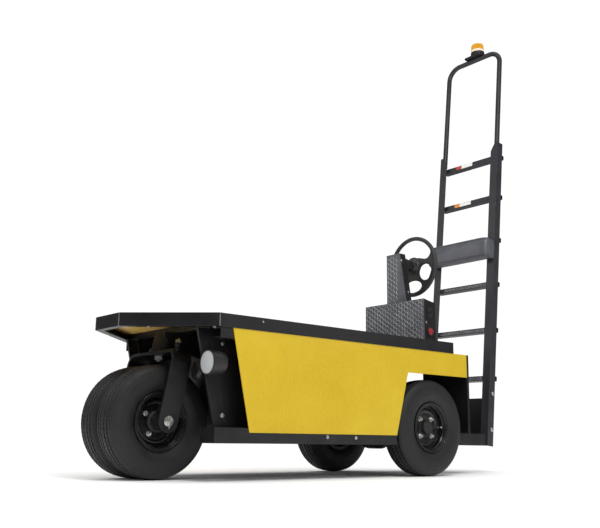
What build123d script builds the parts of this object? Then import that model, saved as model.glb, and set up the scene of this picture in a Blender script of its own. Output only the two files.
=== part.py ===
from build123d import *
from math import cos, radians, sin, tan
import os

# Stand-up burden carrier on three wheels: twin front wheels in a raked fork, a flat
# load deck over a battery box, a driven rear axle, and an operator's platform behind it
# with a leaning picking ladder, a backrest and a beacon hoop.
# Millimetres. +X is forward, +Y is the vehicle's left, +Z is up, the floor is Z = 0.
# Lengthwise places are stations, measured forward from the rear axle.

os.makedirs("parts", exist_ok=True)

# Wheels
wheel_base = 1340.0
wheel_inset = 60.0
tyre_radius = 228.0
tyre_width = 138.0
tread_width = 106.0
seat_radius = 101.6
flange_radius = 117.0
rim_width = 102.0
rim_lip = 6.0
rim_sheet = 4.0
disc_offset = 17.0
disc_sheet = 6.0
lug_circle = 112.0
lug_count = 4
lug_hole = 14.0
twin_spacing = 141.2

# Front fork
rake = 12.0
fork_width = 88.0
fork_sheet = 12.0
fork_inside = 346.0
fork_bend = 34.0
crown_height = 273.0
front_axle_radius = 12.5
axle_nut = 36.0
axle_nut_height = 16.0
stem_radius = 25.0
head_radius = 42.0
steering_arm_reach = 122.0
steering_arm_sheet = 12.0
running_gap = 0.1
face_gap = 0.4

# Deck
deck_top = 648.0
band_height = 54.0
band_sheet = 5.0
band_lip = 32.0
deck_rear = -171.0
deck_overhang = 3.0
deck_corner_setback = 90.0
nose_reach = 196.5
nose_width = 198.0
board_thickness = 18.0
cover_thickness = 3.0
bearer_width = 40.0
bearer_wall = 3.0
rear_bearer = -130.0
body_bearer_count = 4
body_bearer_setback = 525.0
nose_bearer_setback = 125.0
head_bearer_setback = 240.0

# Body
body_width = 764.0
panel_sheet = 3.0
frame_bottom = 146.0
sill_height = 60.0
sill_setback = 85.0
sill_rear = 245.0
channel_width = 50.0
channel_wall = 5.0
top_rail_height = 42.0
top_rail_setback = 101.0
panel_bottom = 188.0
panel_setback = 158.0
panel_rake = 12.8
arch_front_bottom = 245.0
arch_front_top = 164.0
arch_top = 480.0
body_rear = -275.0
post_setback = 50.5
post_inset = 92.0
post_rake = 13.4
post_width = 56.0
post_flange = 12.0
post_sheet = 5.0
bulkhead_setback = 305.0
bulkhead_sheet = 5.0
bracket_drop = 56.0
bracket_foot_drop = 40.0
bracket_slope = 60.0
bracket_nose = 30.0
window_width = 180.0
window_bottom = 440.0
window_top = 560.0

# Battery and rear running gear
battery_height = 370.0
battery_rear = 260.0
battery_front_gap = 35.0
battery_side_gap = 10.0
axle_tube_radius = 38.0
axle_tube_inset = 64.0
casing_radius = 105.0
casing_inset = 115.0
casing_flare = 50.0
motor_radius = 82.0
motor_end_gap = 12.0
spring_inset = 132.0
spring_width = 50.0
spring_thickness = 24.0
spring_half_length = 165.0
spring_rise = 34.0
subrail_bottom = 330.0
subrail_height = 56.0
subrail_width = 44.0
hub_radius = 45.0
drum_radius = 88.0
drum_width = 44.0
hub_cap_radius = 32.0
hub_cap_reach = 24.0

# Operator's platform
platform_width = 426.0
platform_beam_height = 60.0
platform_beam_wall = 8.0
floor_height = 186.0
floor_sheet = 6.0
pedal_width = 90.0
pedal_length = 110.0
pedal_sheet = 6.0
pedal_tilt = 32.0

# Ladder, backrest, hoop and beacon
ladder_foot = -640.3
ladder_foot_height = 144.0
ladder_lean = 6.46
upright_length = 1800.0
upright_outside = 438.0
upright_flange = 48.0
upright_web = 50.0
upright_wall = 5.0
upright_cut_width = 28.0
upright_cut_height = 50.0
rung_rise = 28.0
rung_depth = 48.0
rung_wall = 3.0
rung_rear = 22.0
rung_heights = (515.0, 791.0, 1060.0, 1327.0, 1595.0, 1849.0)
kick_plate_height = 258.0
kick_plate_sheet = 5.0
hoop_tube = 30.0
hoop_wall = 2.6
hoop_overlap = 62.0
hoop_top = 2566.0
hoop_bend = 82.0
backrest_bottom = 1198.0
backrest_height = 116.0
backrest_depth = 77.0
backrest_bend = 62.0
beacon_side = 28.0
beacon_radius = 42.0
beacon_foot_radius = 43.8
beacon_plate_side = 14.0
beacon_plate_half = 64.0
beacon_plate_sheet = 4.0
beacon_saddle = 4.0
beacon_base_height = 30.0
beacon_lens_height = 58.0

# Console and steering wheel
console_front = -150.0
console_sheet = 3.0
console_width = 426.0
console_height = 893.0
console_rear = -241.0
console_side_slope = 16.0
tower_width = 96.0
tower_height = 1162.0
wedge_foot_depth = 50.0
cover_depth = 42.0
column_radius = 30.0
shroud_radius = 42.0
wheel_station = -315.0
wheel_drop = 45.0
wheel_radius = 171.0
wheel_grip = 11.5
wheel_hub_radius = 46.0
wheel_hub_depth = 34.0
spoke_sheet = 9.0
spoke_edge = ((132.0, 66.0), (114.0, 43.0), (80.0, 35.0), (26.0, 45.0))
side_hole = (43.0, 45.0)
side_hole_across = 88.0
side_hole_drop = 41.0
low_hole = (60.0, 33.0)
low_hole_drop = 114.0
stop_button_radius = 14.0
stop_button_drop = 170.0
stop_button_height = 18.0

# Headlamp and horn
lamp_setback = 66.0
lamp_inset = 41.0
horn_setback = 76.0
horn_inset = 52.0
lamp_height = 454.4
lamp_lens_radius = 45.0
lamp_bezel_radius = 50.0
lamp_depth = 70.0
lamp_pad = 30.0
horn_height = 429.0
horn_radius = 38.0
horn_depth = 44.0
horn_strap = 24.0
lamp_rim = 14.0
lens_seat = 8.0
lens_crown = 7.0

# Derived places
lean_slope = tan(radians(ladder_lean))
hoop_plane = -(upright_wall + hoop_tube / 2)
beacon_station = ladder_foot - (hoop_top - ladder_foot_height) * lean_slope + hoop_plane
tail_station = beacon_station - beacon_foot_radius
nose_station = wheel_base + nose_reach
datum = (max(nose_station, wheel_base + tyre_radius) + tail_station) / 2
body_half = body_width / 2
skin = body_half - panel_sheet
deck_half = body_half + deck_overhang
post_side = body_half - post_inset
deck_bottom = deck_top - band_height
board_top = deck_top - cover_thickness
board_bottom = board_top - board_thickness
bearer_bottom = deck_bottom + band_sheet
rail_inside = skin - channel_width
panel_top = deck_bottom
upright_half = upright_outside / 2
platform_half = platform_width / 2


def at(station):
    """The X coordinate of a station."""
    return station - datum


def save(piece, name):
    """Label a finished piece and write its file."""
    piece.part.label = name
    export_step(piece.part, f"parts/{name}.step")


def turned(profile, centre, out=(0, 1, 0)):
    """A turned solid. Its profile is points of (distance along out, radius) from its centre."""
    radial = Vector(1, 0, 0) if out[2] else Vector(0, 0, 1)
    with BuildPart() as piece:
        with BuildSketch(Plane(origin=centre, x_dir=out, z_dir=Vector(*out).cross(radial))):
            with BuildLine():
                Polyline(*profile, close=True)
            make_face()
        revolve(axis=Axis(centre, out))
    return piece.part


# Tyres and rims, turned about each wheel's own axle line
left, right = 1, -1
sides = (("left", left), ("right", right))
twin_half, rear_half = twin_spacing / 2, body_half - wheel_inset

heel = (rim_width / 2 - rim_sheet - face_gap, seat_radius + face_gap)
toe = (heel[0], flange_radius + 1)
bulge = (tyre_width / 2, 0.7 * flange_radius + 0.36 * tyre_radius)
shoulder = (tread_width / 2, tyre_radius - 9)
lower = ((toe[0] + bulge[0]) / 2 + 5, (toe[1] + bulge[1]) / 2 - 4)
upper = ((shoulder[0] + bulge[0]) / 2 + 4, (shoulder[1] + bulge[1]) / 2 + 4)
tyre_half = [heel, toe, lower, bulge, upper, shoulder, (tread_width / 4, tyre_radius - 1)]
tyre_profile = [*tyre_half, (0, tyre_radius), *[(-w, r) for w, r in reversed(tyre_half)]]

edge = rim_width / 2
well = seat_radius - rim_sheet
lip = flange_radius - rim_sheet
rim_profile = [
    (-edge, seat_radius), (-edge, flange_radius), (-edge - rim_lip, flange_radius), (-edge - rim_lip, lip),
    (-edge - rim_sheet, lip), (-edge - rim_sheet, well), (disc_offset - disc_sheet, well),
    (disc_offset - disc_sheet, hub_radius), (disc_offset, hub_radius), (disc_offset, well),
    (edge + rim_sheet, well), (edge + rim_sheet, lip), (edge + rim_lip, lip), (edge + rim_lip, flange_radius),
    (edge, flange_radius), (edge, seat_radius),
]

for axle, station, half in (("front", wheel_base, twin_half), ("rear", 0.0, rear_half)):
    for name, side in sides:
        with BuildPart() as tyre:
            add(turned(tyre_profile, (at(station), side * half, tyre_radius), (0, side, 0)))
        save(tyre, f"{axle}_tyre_{name}")

with BuildPart() as front_rims:
    for name, side in sides:
        add(turned(rim_profile, (at(wheel_base), side * twin_half, tyre_radius), (0, side, 0)))
save(front_rims, "front_rims")

for name, side in sides:
    with BuildPart() as rear_rim:
        add(turned(rim_profile, (at(0), side * rear_half, tyre_radius), (0, side, 0)))
    save(rear_rim, f"rear_rim_{name}")

# Front hub between the twin rims, bored for the axle
front_spin_centre = Vector(at(wheel_base), 0, tyre_radius)
disc_inner = twin_spacing / 2 + disc_offset - disc_sheet
hub_half = fork_inside / 2 - 8
with BuildPart() as front_hub:
    bore = front_axle_radius + running_gap
    flange = lug_circle / 2 + lug_hole
    barrel = hub_radius - face_gap
    hub_end = [
        (hub_half, bore), (hub_half, barrel - 10), (disc_inner + disc_sheet + 18, barrel - 10),
        (disc_inner + disc_sheet + 10, barrel), (disc_inner, barrel), (disc_inner, flange),
        (disc_inner - 9, flange), (disc_inner - 9, barrel),
    ]
    add(turned([*hub_end, *[(-w, r) for w, r in reversed(hub_end)]], front_spin_centre))
save(front_hub, "front_hub")

# Raked fork: every piece of it is drawn in the steering axis's own frame
steer_axis = (-sin(radians(rake)), 0, cos(radians(rake)))
steer_forward = (cos(radians(rake)), 0, sin(radians(rake)))
fork_front = Plane(origin=front_spin_centre, x_dir=(0, 1, 0), z_dir=steer_forward)


def on_steer_axis(height):
    """A plane square to the steering axis, at a height above the axle."""
    place = front_spin_centre + Vector(*steer_axis) * height
    return Plane(origin=place, x_dir=steer_forward, z_dir=steer_axis)


with BuildPart() as fork:
    with BuildSketch(fork_front):
        with BuildLine():
            inside = fork_inside / 2
            Polyline((-inside, 0), (-inside, crown_height), (inside, crown_height), (inside, 0))
            fillet(vertices().sort_by(Axis.Y)[-2:], fork_bend)
            offset(amount=fork_sheet, side=Side.LEFT)
        make_face()
    extrude(amount=fork_width / 2, both=True)
    with BuildSketch(Plane(origin=front_spin_centre, x_dir=steer_forward, z_dir=(0, -1, 0))):
        Circle(fork_width / 2)
    extrude(amount=inside + fork_sheet, both=True)
    with BuildSketch(Plane(origin=front_spin_centre, x_dir=steer_forward, z_dir=(0, -1, 0))):
        Circle(fork_width / 2)
    extrude(amount=inside, both=True, mode=Mode.SUBTRACT)
    with BuildSketch(Plane(origin=front_spin_centre, x_dir=steer_forward, z_dir=(0, -1, 0))):
        Circle(front_axle_radius + running_gap)
    extrude(amount=inside + fork_sheet, both=True, mode=Mode.SUBTRACT)
save(fork, "fork")

with BuildPart() as front_axle:
    side_plane = Plane(origin=front_spin_centre, x_dir=(1, 0, 0), z_dir=(0, -1, 0))
    with BuildSketch(side_plane):
        Circle(front_axle_radius)
    extrude(amount=inside + fork_sheet + axle_nut_height, both=True)
    with BuildSketch(side_plane.offset(inside + fork_sheet), side_plane.offset(-inside - fork_sheet - axle_nut_height)):
        RegularPolygon(axle_nut / 2, 6, major_radius=False)
    extrude(amount=axle_nut_height)
    with BuildSketch(side_plane.offset(hub_half + face_gap), side_plane.offset(-inside)):
        Circle(front_axle_radius + 8)
    extrude(amount=inside - hub_half - face_gap)
save(front_axle, "front_axle")

# Steering arm on the crown, with the stem through the head tube and the ball stud
arm_foot = crown_height + fork_sheet
stem_foot = arm_foot + steering_arm_sheet
head_foot = stem_foot + face_gap
head_length = (deck_bottom - tyre_radius) / cos(radians(rake)) - head_foot - 6
with BuildPart() as steering_arm:
    with BuildSketch(on_steer_axis(arm_foot)):
        Circle(head_radius + 8)
        with Locations((0, steering_arm_reach / 2)):
            Rectangle(40, steering_arm_reach)
        with Locations((0, steering_arm_reach)):
            Circle(20)
    extrude(amount=steering_arm_sheet)
    with BuildSketch(on_steer_axis(stem_foot)):
        Circle(stem_radius)
    extrude(amount=head_length)
    with BuildSketch(on_steer_axis(stem_foot)):
        with Locations((0, steering_arm_reach)):
            Circle(9)
    extrude(amount=16)
    with Locations(on_steer_axis(stem_foot + 20).location * Pos(0, steering_arm_reach, 0)):
        Sphere(13)
save(steering_arm, "steering_arm")

# Head bracket: the tube that holds the stem, between two plates off the front bulkhead
bulkhead_lean = tan(radians(panel_rake))
bulkhead_foot = wheel_base - bulkhead_setback


def bulkhead_face(height):
    """The station of the front bulkhead's front face at a height."""
    return bulkhead_foot + (height - frame_bottom) * bulkhead_lean


pan_front = bulkhead_face(frame_bottom) - bulkhead_sheet
bracket_bottom = deck_bottom - bracket_drop
bracket_front = wheel_base - sin(radians(rake)) * head_foot + head_radius
with BuildPart() as head_bracket:
    with BuildSketch(on_steer_axis(head_foot)):
        Circle(head_radius)
    extrude(amount=head_length)
    for y in (-head_radius, head_radius - 8):
        with BuildSketch(Plane(origin=(0, y + 8, 0), x_dir=(1, 0, 0), z_dir=(0, -1, 0))):
            with BuildLine():
                Polyline(
                    (at(bulkhead_face(bracket_bottom - bracket_foot_drop)), bracket_bottom - bracket_foot_drop),
                    (at(bracket_front - bracket_slope), bracket_bottom), (at(bracket_front - bracket_nose), deck_bottom - 12),
                    (at(bracket_front - bracket_nose), bearer_bottom), (at(bulkhead_face(bearer_bottom)), bearer_bottom),
                    close=True,
                )
            make_face()
        extrude(amount=8)
    with BuildSketch(on_steer_axis(head_foot)):
        Circle(stem_radius + running_gap)
    extrude(amount=head_length * 2, mode=Mode.SUBTRACT)
save(head_bracket, "head_bracket")

# Deck: a skirt of bent steel round the edge, cross bearers, the board and its cover
nose_half = nose_width / 2
deck_corner = wheel_base - deck_corner_setback
deck_plan = [
    (at(deck_rear), -deck_half), (at(deck_corner), -deck_half), (at(nose_station), -nose_half),
    (at(nose_station), nose_half), (at(deck_corner), deck_half), (at(deck_rear), deck_half),
]


def deck_sheet(inset):
    """The deck's outline, moved in from its edge."""
    with BuildSketch() as plan:
        with BuildLine():
            Polyline(*deck_plan, close=True)
        make_face()
        if inset:
            offset(amount=-inset, kind=Kind.INTERSECTION)
    return plan.sketch


with BuildPart() as deck_band:
    with BuildSketch(Plane.XY.offset(deck_bottom)):
        add(deck_sheet(0))
        add(deck_sheet(band_sheet), mode=Mode.SUBTRACT)
    extrude(amount=band_height)
    with BuildSketch(Plane.XY.offset(deck_bottom)):
        add(deck_sheet(band_sheet))
        add(deck_sheet(band_lip), mode=Mode.SUBTRACT)
    extrude(amount=band_sheet)
save(deck_band, "deck_band")

bearer_step = (wheel_base - body_bearer_setback - rear_bearer) / (body_bearer_count - 1)
bearer_stations = [rear_bearer + bearer_step * i for i in range(body_bearer_count)]
bearer_stations += [wheel_base - head_bearer_setback, wheel_base - nose_bearer_setback]
with BuildPart() as deck_bearers:
    bearer_height = board_bottom - bearer_bottom
    for station in bearer_stations:
        with BuildSketch(Plane(origin=(at(station), 0, bearer_bottom + bearer_height / 2), x_dir=(1, 0, 0),
                               z_dir=(0, -1, 0))):
            Rectangle(bearer_width, bearer_height)
            Rectangle(bearer_width - 2 * bearer_wall, bearer_height - 2 * bearer_wall, mode=Mode.SUBTRACT)
        extrude(amount=deck_half, both=True)
    with BuildSketch(Plane.XY.offset(bearer_bottom)):
        add(deck_sheet(band_sheet))
    extrude(amount=bearer_height, mode=Mode.INTERSECT)
save(deck_bearers, "deck_bearers")

with BuildPart() as deck_board:
    with BuildSketch(Plane.XY.offset(board_bottom)):
        add(deck_sheet(band_sheet))
    extrude(amount=board_thickness)
save(deck_board, "deck_board")

cover_rear = console_front + face_gap
with BuildPart() as deck_cover:
    with BuildSketch(Plane.XY.offset(board_top)):
        add(deck_sheet(band_sheet))
        with Locations((at(cover_rear), 0)):
            Rectangle(2 * (cover_rear - deck_rear), 2 * deck_half, mode=Mode.SUBTRACT)
    extrude(amount=cover_thickness)
save(deck_cover, "deck_cover")

# Body: sills, top rails, slanted front posts, liners and the yellow side panels
sill_front, top_rail_front = wheel_base - sill_setback, wheel_base - top_rail_setback
panel_front_top, post_front_top = wheel_base - panel_setback, wheel_base - post_setback


def post_front(height):
    """The station of the post's front edge at a height."""
    return post_front_top - (deck_bottom - height) * tan(radians(post_rake))


def side_view(points):
    """A face in the vehicle's own side view, from points of (station, height)."""
    with BuildSketch(Plane(origin=(0, 0, 0), x_dir=(1, 0, 0), z_dir=(0, -1, 0))) as view:
        with BuildLine():
            Polyline(*[(at(station), height) for station, height in points], close=True)
        make_face()
    return view.sketch


def sheets(points, outer, thickness):
    """Two upright sheets, one a side, from their outer face inwards."""
    with BuildPart() as pair:
        for side in (left, right):
            face = side_view(points).moved(Location((0, side * outer, 0)))
            extrude(face, amount=side * thickness)
    return pair.part


sill_top = frame_bottom + sill_height
post_inside = post_side - post_sheet
post_bounds = (sill_top, deck_bottom)


def post_strip(front, rear):
    """A strip along the slanted post, between two distances behind its front edge."""
    low, high = post_bounds
    return [(post_front(low) - front, low), (post_front(high) - front, high),
            (post_front(high) - rear, high), (post_front(low) - rear, low)]


with BuildPart() as side_rails:
    for side in (left, right):
        for rear, front, bottom, height in (
            (sill_rear, sill_front, frame_bottom, sill_height),
            (body_rear, top_rail_front, deck_bottom - top_rail_height, top_rail_height),
        ):
            with BuildSketch(Plane.XY.offset(bottom)):
                with Locations((at((rear + front) / 2), side * (skin - channel_width / 2))):
                    Rectangle(front - rear, channel_width)
            extrude(amount=height)
            with BuildSketch(Plane.XY.offset(bottom + channel_wall)):
                with Locations((at((rear + front) / 2), side * (skin - channel_width / 2 - channel_wall))):
                    Rectangle(front - rear, channel_width)
            extrude(amount=height - 2 * channel_wall, mode=Mode.SUBTRACT)
        end_cap = (sill_front - channel_wall / 2, side * (post_inside + skin) / 2, channel_wall, skin - post_inside)
        arm_rear = post_front(sill_top) - post_width
        arm = ((arm_rear + sill_front) / 2, side * (post_inside + rail_inside) / 2, sill_front - arm_rear,
               rail_inside - post_inside)
        for (station, y, length, width), low, height in (
            (end_cap, frame_bottom, sill_height), (arm, frame_bottom, channel_wall),
            (arm, sill_top - channel_wall, channel_wall),
        ):
            with BuildSketch(Plane.XY.offset(low)):
                with Locations((at(station), y)):
                    Rectangle(length, width)
            extrude(amount=height)
save(side_rails, "side_rails")

with BuildPart() as front_posts:
    add(sheets(post_strip(0, post_width), post_side, post_sheet))
    add(sheets(post_strip(0, post_sheet), post_side, post_flange))
    add(sheets(post_strip(post_width - post_sheet, post_width), post_side, post_flange))
save(front_posts, "front_posts")

liner_low = frame_bottom + bulkhead_sheet
with BuildPart() as side_liners:
    add(sheets([
        (sill_rear, liner_low), (sill_rear, bearer_bottom), (post_front(bearer_bottom) - post_width, bearer_bottom),
        (post_front(sill_top) - post_width, sill_top), (pan_front, liner_low),
    ], post_side, panel_sheet))
save(side_liners, "side_liners")

panel_front_bottom = panel_front_top - (panel_top - panel_bottom) * tan(radians(panel_rake))
with BuildPart() as side_panels:
    add(sheets([
        (panel_front_top, panel_top), (panel_front_bottom, panel_bottom), (arch_front_bottom, panel_bottom),
        (arch_front_top, arch_top), (body_rear, arch_top), (body_rear, panel_top),
    ], body_half, panel_sheet))
save(side_panels, "side_panels")

# Battery tray: floor, slanted front wall and upright rear wall
pan_half = rail_inside
box_half = post_side - panel_sheet
with BuildPart() as battery_tray:
    foot_front, top_front = bulkhead_face(frame_bottom), bulkhead_face(deck_bottom)
    wall = [(foot_front, frame_bottom), (top_front, deck_bottom), (top_front - bulkhead_sheet, deck_bottom),
            (foot_front - bulkhead_sheet, frame_bottom)]
    rear_wall = [(sill_rear, liner_low), (sill_rear, deck_bottom), (sill_rear + bulkhead_sheet, deck_bottom),
                 (sill_rear + bulkhead_sheet, liner_low)]
    for outline, half in ((wall, box_half), (rear_wall, box_half),
                          ([(sill_rear, frame_bottom), (sill_rear, liner_low), (foot_front, liner_low),
                            (foot_front, frame_bottom)], pan_half)):
        extrude(side_view(outline), amount=half, both=True)
save(battery_tray, "battery_tray")

battery_length = bulkhead_foot - battery_front_gap - battery_rear
battery_width = 2 * (post_side - battery_side_gap)
with BuildPart() as battery_pack:
    with BuildSketch(Plane.XY.offset(frame_bottom + bulkhead_sheet)):
        with Locations((at(battery_rear + battery_length / 2), 0)):
            RectangleRounded(battery_length, battery_width, 12)
    extrude(amount=battery_height)
save(battery_pack, "battery_pack")

bulkhead_plane = Plane(origin=(at(body_rear), 0, 0), x_dir=(0, 1, 0), z_dir=(1, 0, 0))
with BuildPart() as rear_bulkhead:
    with BuildSketch(bulkhead_plane):
        with BuildLine():
            Polyline(
                (-platform_half, frame_bottom), (-platform_half, frame_bottom + platform_beam_height),
                (-body_half, frame_bottom + platform_beam_height), (-body_half, deck_bottom),
                (body_half, deck_bottom), (body_half, frame_bottom + platform_beam_height),
                (platform_half, frame_bottom + platform_beam_height), (platform_half, frame_bottom), close=True)
        make_face()
        with Locations((0, (window_bottom + window_top) / 2)):
            RectangleRounded(window_width, window_top - window_bottom, 12, mode=Mode.SUBTRACT)
    extrude(amount=-bulkhead_sheet)
    with BuildSketch(bulkhead_plane.offset(-bulkhead_sheet)):
        for side in (left, right):
            with Locations((side * (body_half - bulkhead_sheet / 2),
                            (frame_bottom + platform_beam_height + deck_bottom) / 2)):
                Rectangle(bulkhead_sheet, deck_bottom - frame_bottom - platform_beam_height)
    extrude(amount=-2 * bulkhead_sheet)
    with BuildSketch(Plane.XY.offset(deck_bottom - bulkhead_sheet)):
        with Locations((at((body_rear + deck_rear + band_lip) / 2), 0)):
            Rectangle(deck_rear + band_lip - body_rear, 2 * rail_inside)
    extrude(amount=bulkhead_sheet)
save(rear_bulkhead, "rear_bulkhead")

# Rear axle on leaf springs, under two short rails between the battery box and the bulkhead
axle_tube_half = rear_half - axle_tube_inset
spring_half_spacing = rear_half - spring_inset
half = spring_half_spacing - casing_inset
casing = [(axle_tube_half, 0), (axle_tube_half, axle_tube_radius), (half + casing_flare, axle_tube_radius),
          (half, casing_radius * 0.72), (half / 2, casing_radius)]
with BuildPart() as drive_axle:
    add(turned([*casing, *[(-w, r) for w, r in reversed(casing)]], (at(0), 0, tyre_radius)))
    add(turned([
        (0, 0), (0, motor_radius * 0.8), (casing_radius, motor_radius * 0.8), (casing_radius, motor_radius),
        (-body_rear - motor_end_gap, motor_radius), (-body_rear - motor_end_gap, 0),
    ], (at(0), 0, tyre_radius), (-1, 0, 0)))
save(drive_axle, "drive_axle")

spring_seat = tyre_radius + axle_tube_radius
spring_tip = spring_seat + spring_rise
with BuildPart() as leaf_springs:
    for side in (left, right):
        with BuildSketch(Plane(origin=(0, side * spring_half_spacing, 0), x_dir=(1, 0, 0), z_dir=(0, -1, 0))):
            with BuildLine():
                ThreePointArc((at(-spring_half_length), spring_tip), (at(0), spring_seat),
                              (at(spring_half_length), spring_tip))
                Line((at(spring_half_length), spring_tip), (at(spring_half_length), spring_tip + spring_thickness / 2))
                ThreePointArc((at(spring_half_length), spring_tip + spring_thickness / 2),
                              (at(0), spring_seat + spring_thickness),
                              (at(-spring_half_length), spring_tip + spring_thickness / 2))
                Line((at(-spring_half_length), spring_tip + spring_thickness / 2), (at(-spring_half_length), spring_tip))
            make_face()
        extrude(amount=spring_width / 2, both=True)
save(leaf_springs, "leaf_springs")

with BuildPart() as spring_rails:
    for side in (left, right):
        y = side * spring_half_spacing
        with BuildSketch(Plane.XY.offset(subrail_bottom)):
            with Locations((at((sill_rear + body_rear) / 2), y)):
                Rectangle(sill_rear - body_rear, subrail_width)
        extrude(amount=subrail_height)
        with BuildSketch(Plane.XY.offset(spring_tip + spring_thickness / 2)):
            with Locations((at(-spring_half_length + 14), y), (at(spring_half_length - 14), y)):
                Rectangle(28, subrail_width)
        extrude(amount=subrail_bottom - spring_tip - spring_thickness / 2)
    add(leaf_springs.part, mode=Mode.SUBTRACT)
save(spring_rails, "spring_rails")

# Rear hubs with their brake drums, which turn with the wheels
hub_inner = axle_tube_half + face_gap - rear_half
hub_face = disc_offset - disc_sheet
cap_face = disc_offset + hub_cap_reach
for name, side in sides:
    with BuildPart() as hub:
        add(turned([
            (hub_inner, 0), (hub_inner, barrel), (hub_face - drum_width, barrel), (hub_face - drum_width, drum_radius),
            (hub_face, drum_radius), (hub_face, barrel), (disc_offset, barrel), (disc_offset, hub_cap_radius),
            (cap_face - 6, hub_cap_radius), (cap_face, hub_cap_radius - 8), (cap_face, 0),
        ], (at(0), side * rear_half, tyre_radius), (0, side, 0)))
    save(hub, f"rear_hub_{name}")

# Operator's platform and pedals
with BuildPart() as platform_frame:
    platform_front = body_rear - bulkhead_sheet
    for side in (left, right):
        with BuildSketch(Plane(origin=(0, side * platform_half, 0), x_dir=(1, 0, 0), z_dir=(0, -1, 0))):
            with BuildLine():
                low, high = frame_bottom, frame_bottom + platform_beam_height
                Polyline(
                    (at(platform_front), low), (at(ladder_foot - (low - ladder_foot_height) * lean_slope), low),
                    (at(ladder_foot - (high - ladder_foot_height) * lean_slope), high), (at(platform_front), high),
                    close=True)
            make_face()
        extrude(amount=side * platform_beam_wall)
save(platform_frame, "platform_frame")

floor_half = platform_half - platform_beam_wall
floor_rear = ladder_foot - (floor_height - floor_sheet - ladder_foot_height) * lean_slope
with BuildPart() as platform_floor:
    with BuildSketch(Plane.XY.offset(floor_height - floor_sheet)):
        with Locations((at((platform_front + floor_rear) / 2), 0)):
            Rectangle(platform_front - floor_rear, 2 * floor_half)
    extrude(amount=floor_sheet)
save(platform_floor, "platform_floor")

with BuildPart() as pedals:
    for y in (-floor_half / 2, floor_half / 2):
        with BuildSketch(Plane(origin=(0, y, 0), x_dir=(1, 0, 0), z_dir=(0, -1, 0))):
            with BuildLine():
                heel_x = platform_front - 20 - pedal_length * cos(radians(pedal_tilt))
                rise = pedal_length * sin(radians(pedal_tilt))
                Polyline(
                    (at(heel_x), floor_height), (at(platform_front - 20), floor_height + rise),
                    (at(platform_front - 20), floor_height + rise + pedal_sheet),
                    (at(heel_x - pedal_sheet), floor_height), close=True)
            make_face()
        extrude(amount=pedal_width / 2, both=True)
save(pedals, "pedals")

# Ladder: everything on it is drawn in the leaning plane of its uprights' front faces
lean_axis = Vector(-sin(radians(ladder_lean)), 0, cos(radians(ladder_lean)))
lean_forward = Vector(cos(radians(ladder_lean)), 0, sin(radians(ladder_lean)))
foot = Vector(at(ladder_foot), 0, ladder_foot_height)


def on_ladder(height):
    """A plane square to the ladder where its front face reaches a height; its X is forward."""
    along = (height - ladder_foot_height) / cos(radians(ladder_lean))
    return Plane(origin=foot + lean_axis * along, x_dir=lean_forward, z_dir=lean_axis)


with BuildPart() as ladder_uprights:
    for side in (left, right):
        with BuildSketch(on_ladder(ladder_foot_height)):
            with BuildLine():
                Polyline(
                    (0, side * upright_half), (0, side * (upright_half - upright_flange)),
                    (-upright_wall, side * (upright_half - upright_flange)),
                    (-upright_wall, side * (upright_half - upright_wall)),
                    (-upright_web, side * (upright_half - upright_wall)), (-upright_web, side * upright_half),
                    close=True)
            make_face()
        extrude(amount=upright_length)
    upright_inner = upright_half - upright_flange
    with BuildSketch(Plane(origin=foot, x_dir=(0, 1, 0), z_dir=lean_forward)):
        for side in (left, right):
            with BuildLine():
                Polyline(
                    (side * upright_inner, upright_length - upright_cut_height), (side * upright_inner, upright_length),
                    (side * (upright_inner + upright_cut_width), upright_length), close=True)
            make_face()
    extrude(amount=upright_wall, both=True, mode=Mode.SUBTRACT)
save(ladder_uprights, "ladder_uprights")

with BuildPart() as rungs:
    for height in rung_heights:
        plane = on_ladder(height)
        with BuildSketch(Plane(origin=plane.origin, x_dir=lean_forward, z_dir=(0, -1, 0))):
            with Locations((rung_depth / 2 - rung_rear - upright_web, 0)):
                RectangleRounded(rung_depth, rung_rise, 5)
                RectangleRounded(rung_depth - 2 * rung_wall, rung_rise - 2 * rung_wall, 2, mode=Mode.SUBTRACT)
        extrude(amount=upright_half - upright_wall, both=True)
save(rungs, "ladder_rungs")

with BuildPart() as kick_plate:
    with BuildSketch(on_ladder(ladder_foot_height)):
        with Locations((-upright_wall - kick_plate_sheet / 2, 0)):
            Rectangle(kick_plate_sheet, 2 * (upright_half - upright_wall))
    extrude(amount=kick_plate_height)
save(kick_plate, "kick_plate")

hoop_foot = ladder_foot_height + (upright_length - hoop_overlap) * cos(radians(ladder_lean))
hoop_half = upright_half - upright_wall - hoop_tube / 2
hoop_start = on_ladder(hoop_foot).origin + lean_forward * hoop_plane
hoop_rise = (hoop_top - hoop_start.Z) / cos(radians(ladder_lean))
hoop_face = Plane(origin=hoop_start, x_dir=(0, 1, 0), z_dir=lean_forward)
with BuildPart() as hoop:
    with BuildLine(hoop_face) as hoop_line:
        FilletPolyline((-hoop_half, 0), (-hoop_half, hoop_rise), (hoop_half, hoop_rise), (hoop_half, 0),
                       radius=hoop_bend)
    with BuildSketch(Plane(origin=hoop_start - Vector(0, hoop_half, 0), x_dir=lean_forward, z_dir=lean_axis)):
        Circle(hoop_tube / 2)
        Circle(hoop_tube / 2 - hoop_wall, mode=Mode.SUBTRACT)
    sweep(path=hoop_line.line)
save(hoop, "beacon_hoop")

with BuildPart() as backrest:
    with BuildSketch(on_ladder(backrest_bottom)) as pad:
        with Locations((backrest_depth / 2, 0)):
            Rectangle(backrest_depth, 2 * upright_half)
        fillet(vertices().sort_by(Axis.X)[-2:], backrest_bend)
    extrude(amount=backrest_height)
save(backrest, "backrest")

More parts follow.
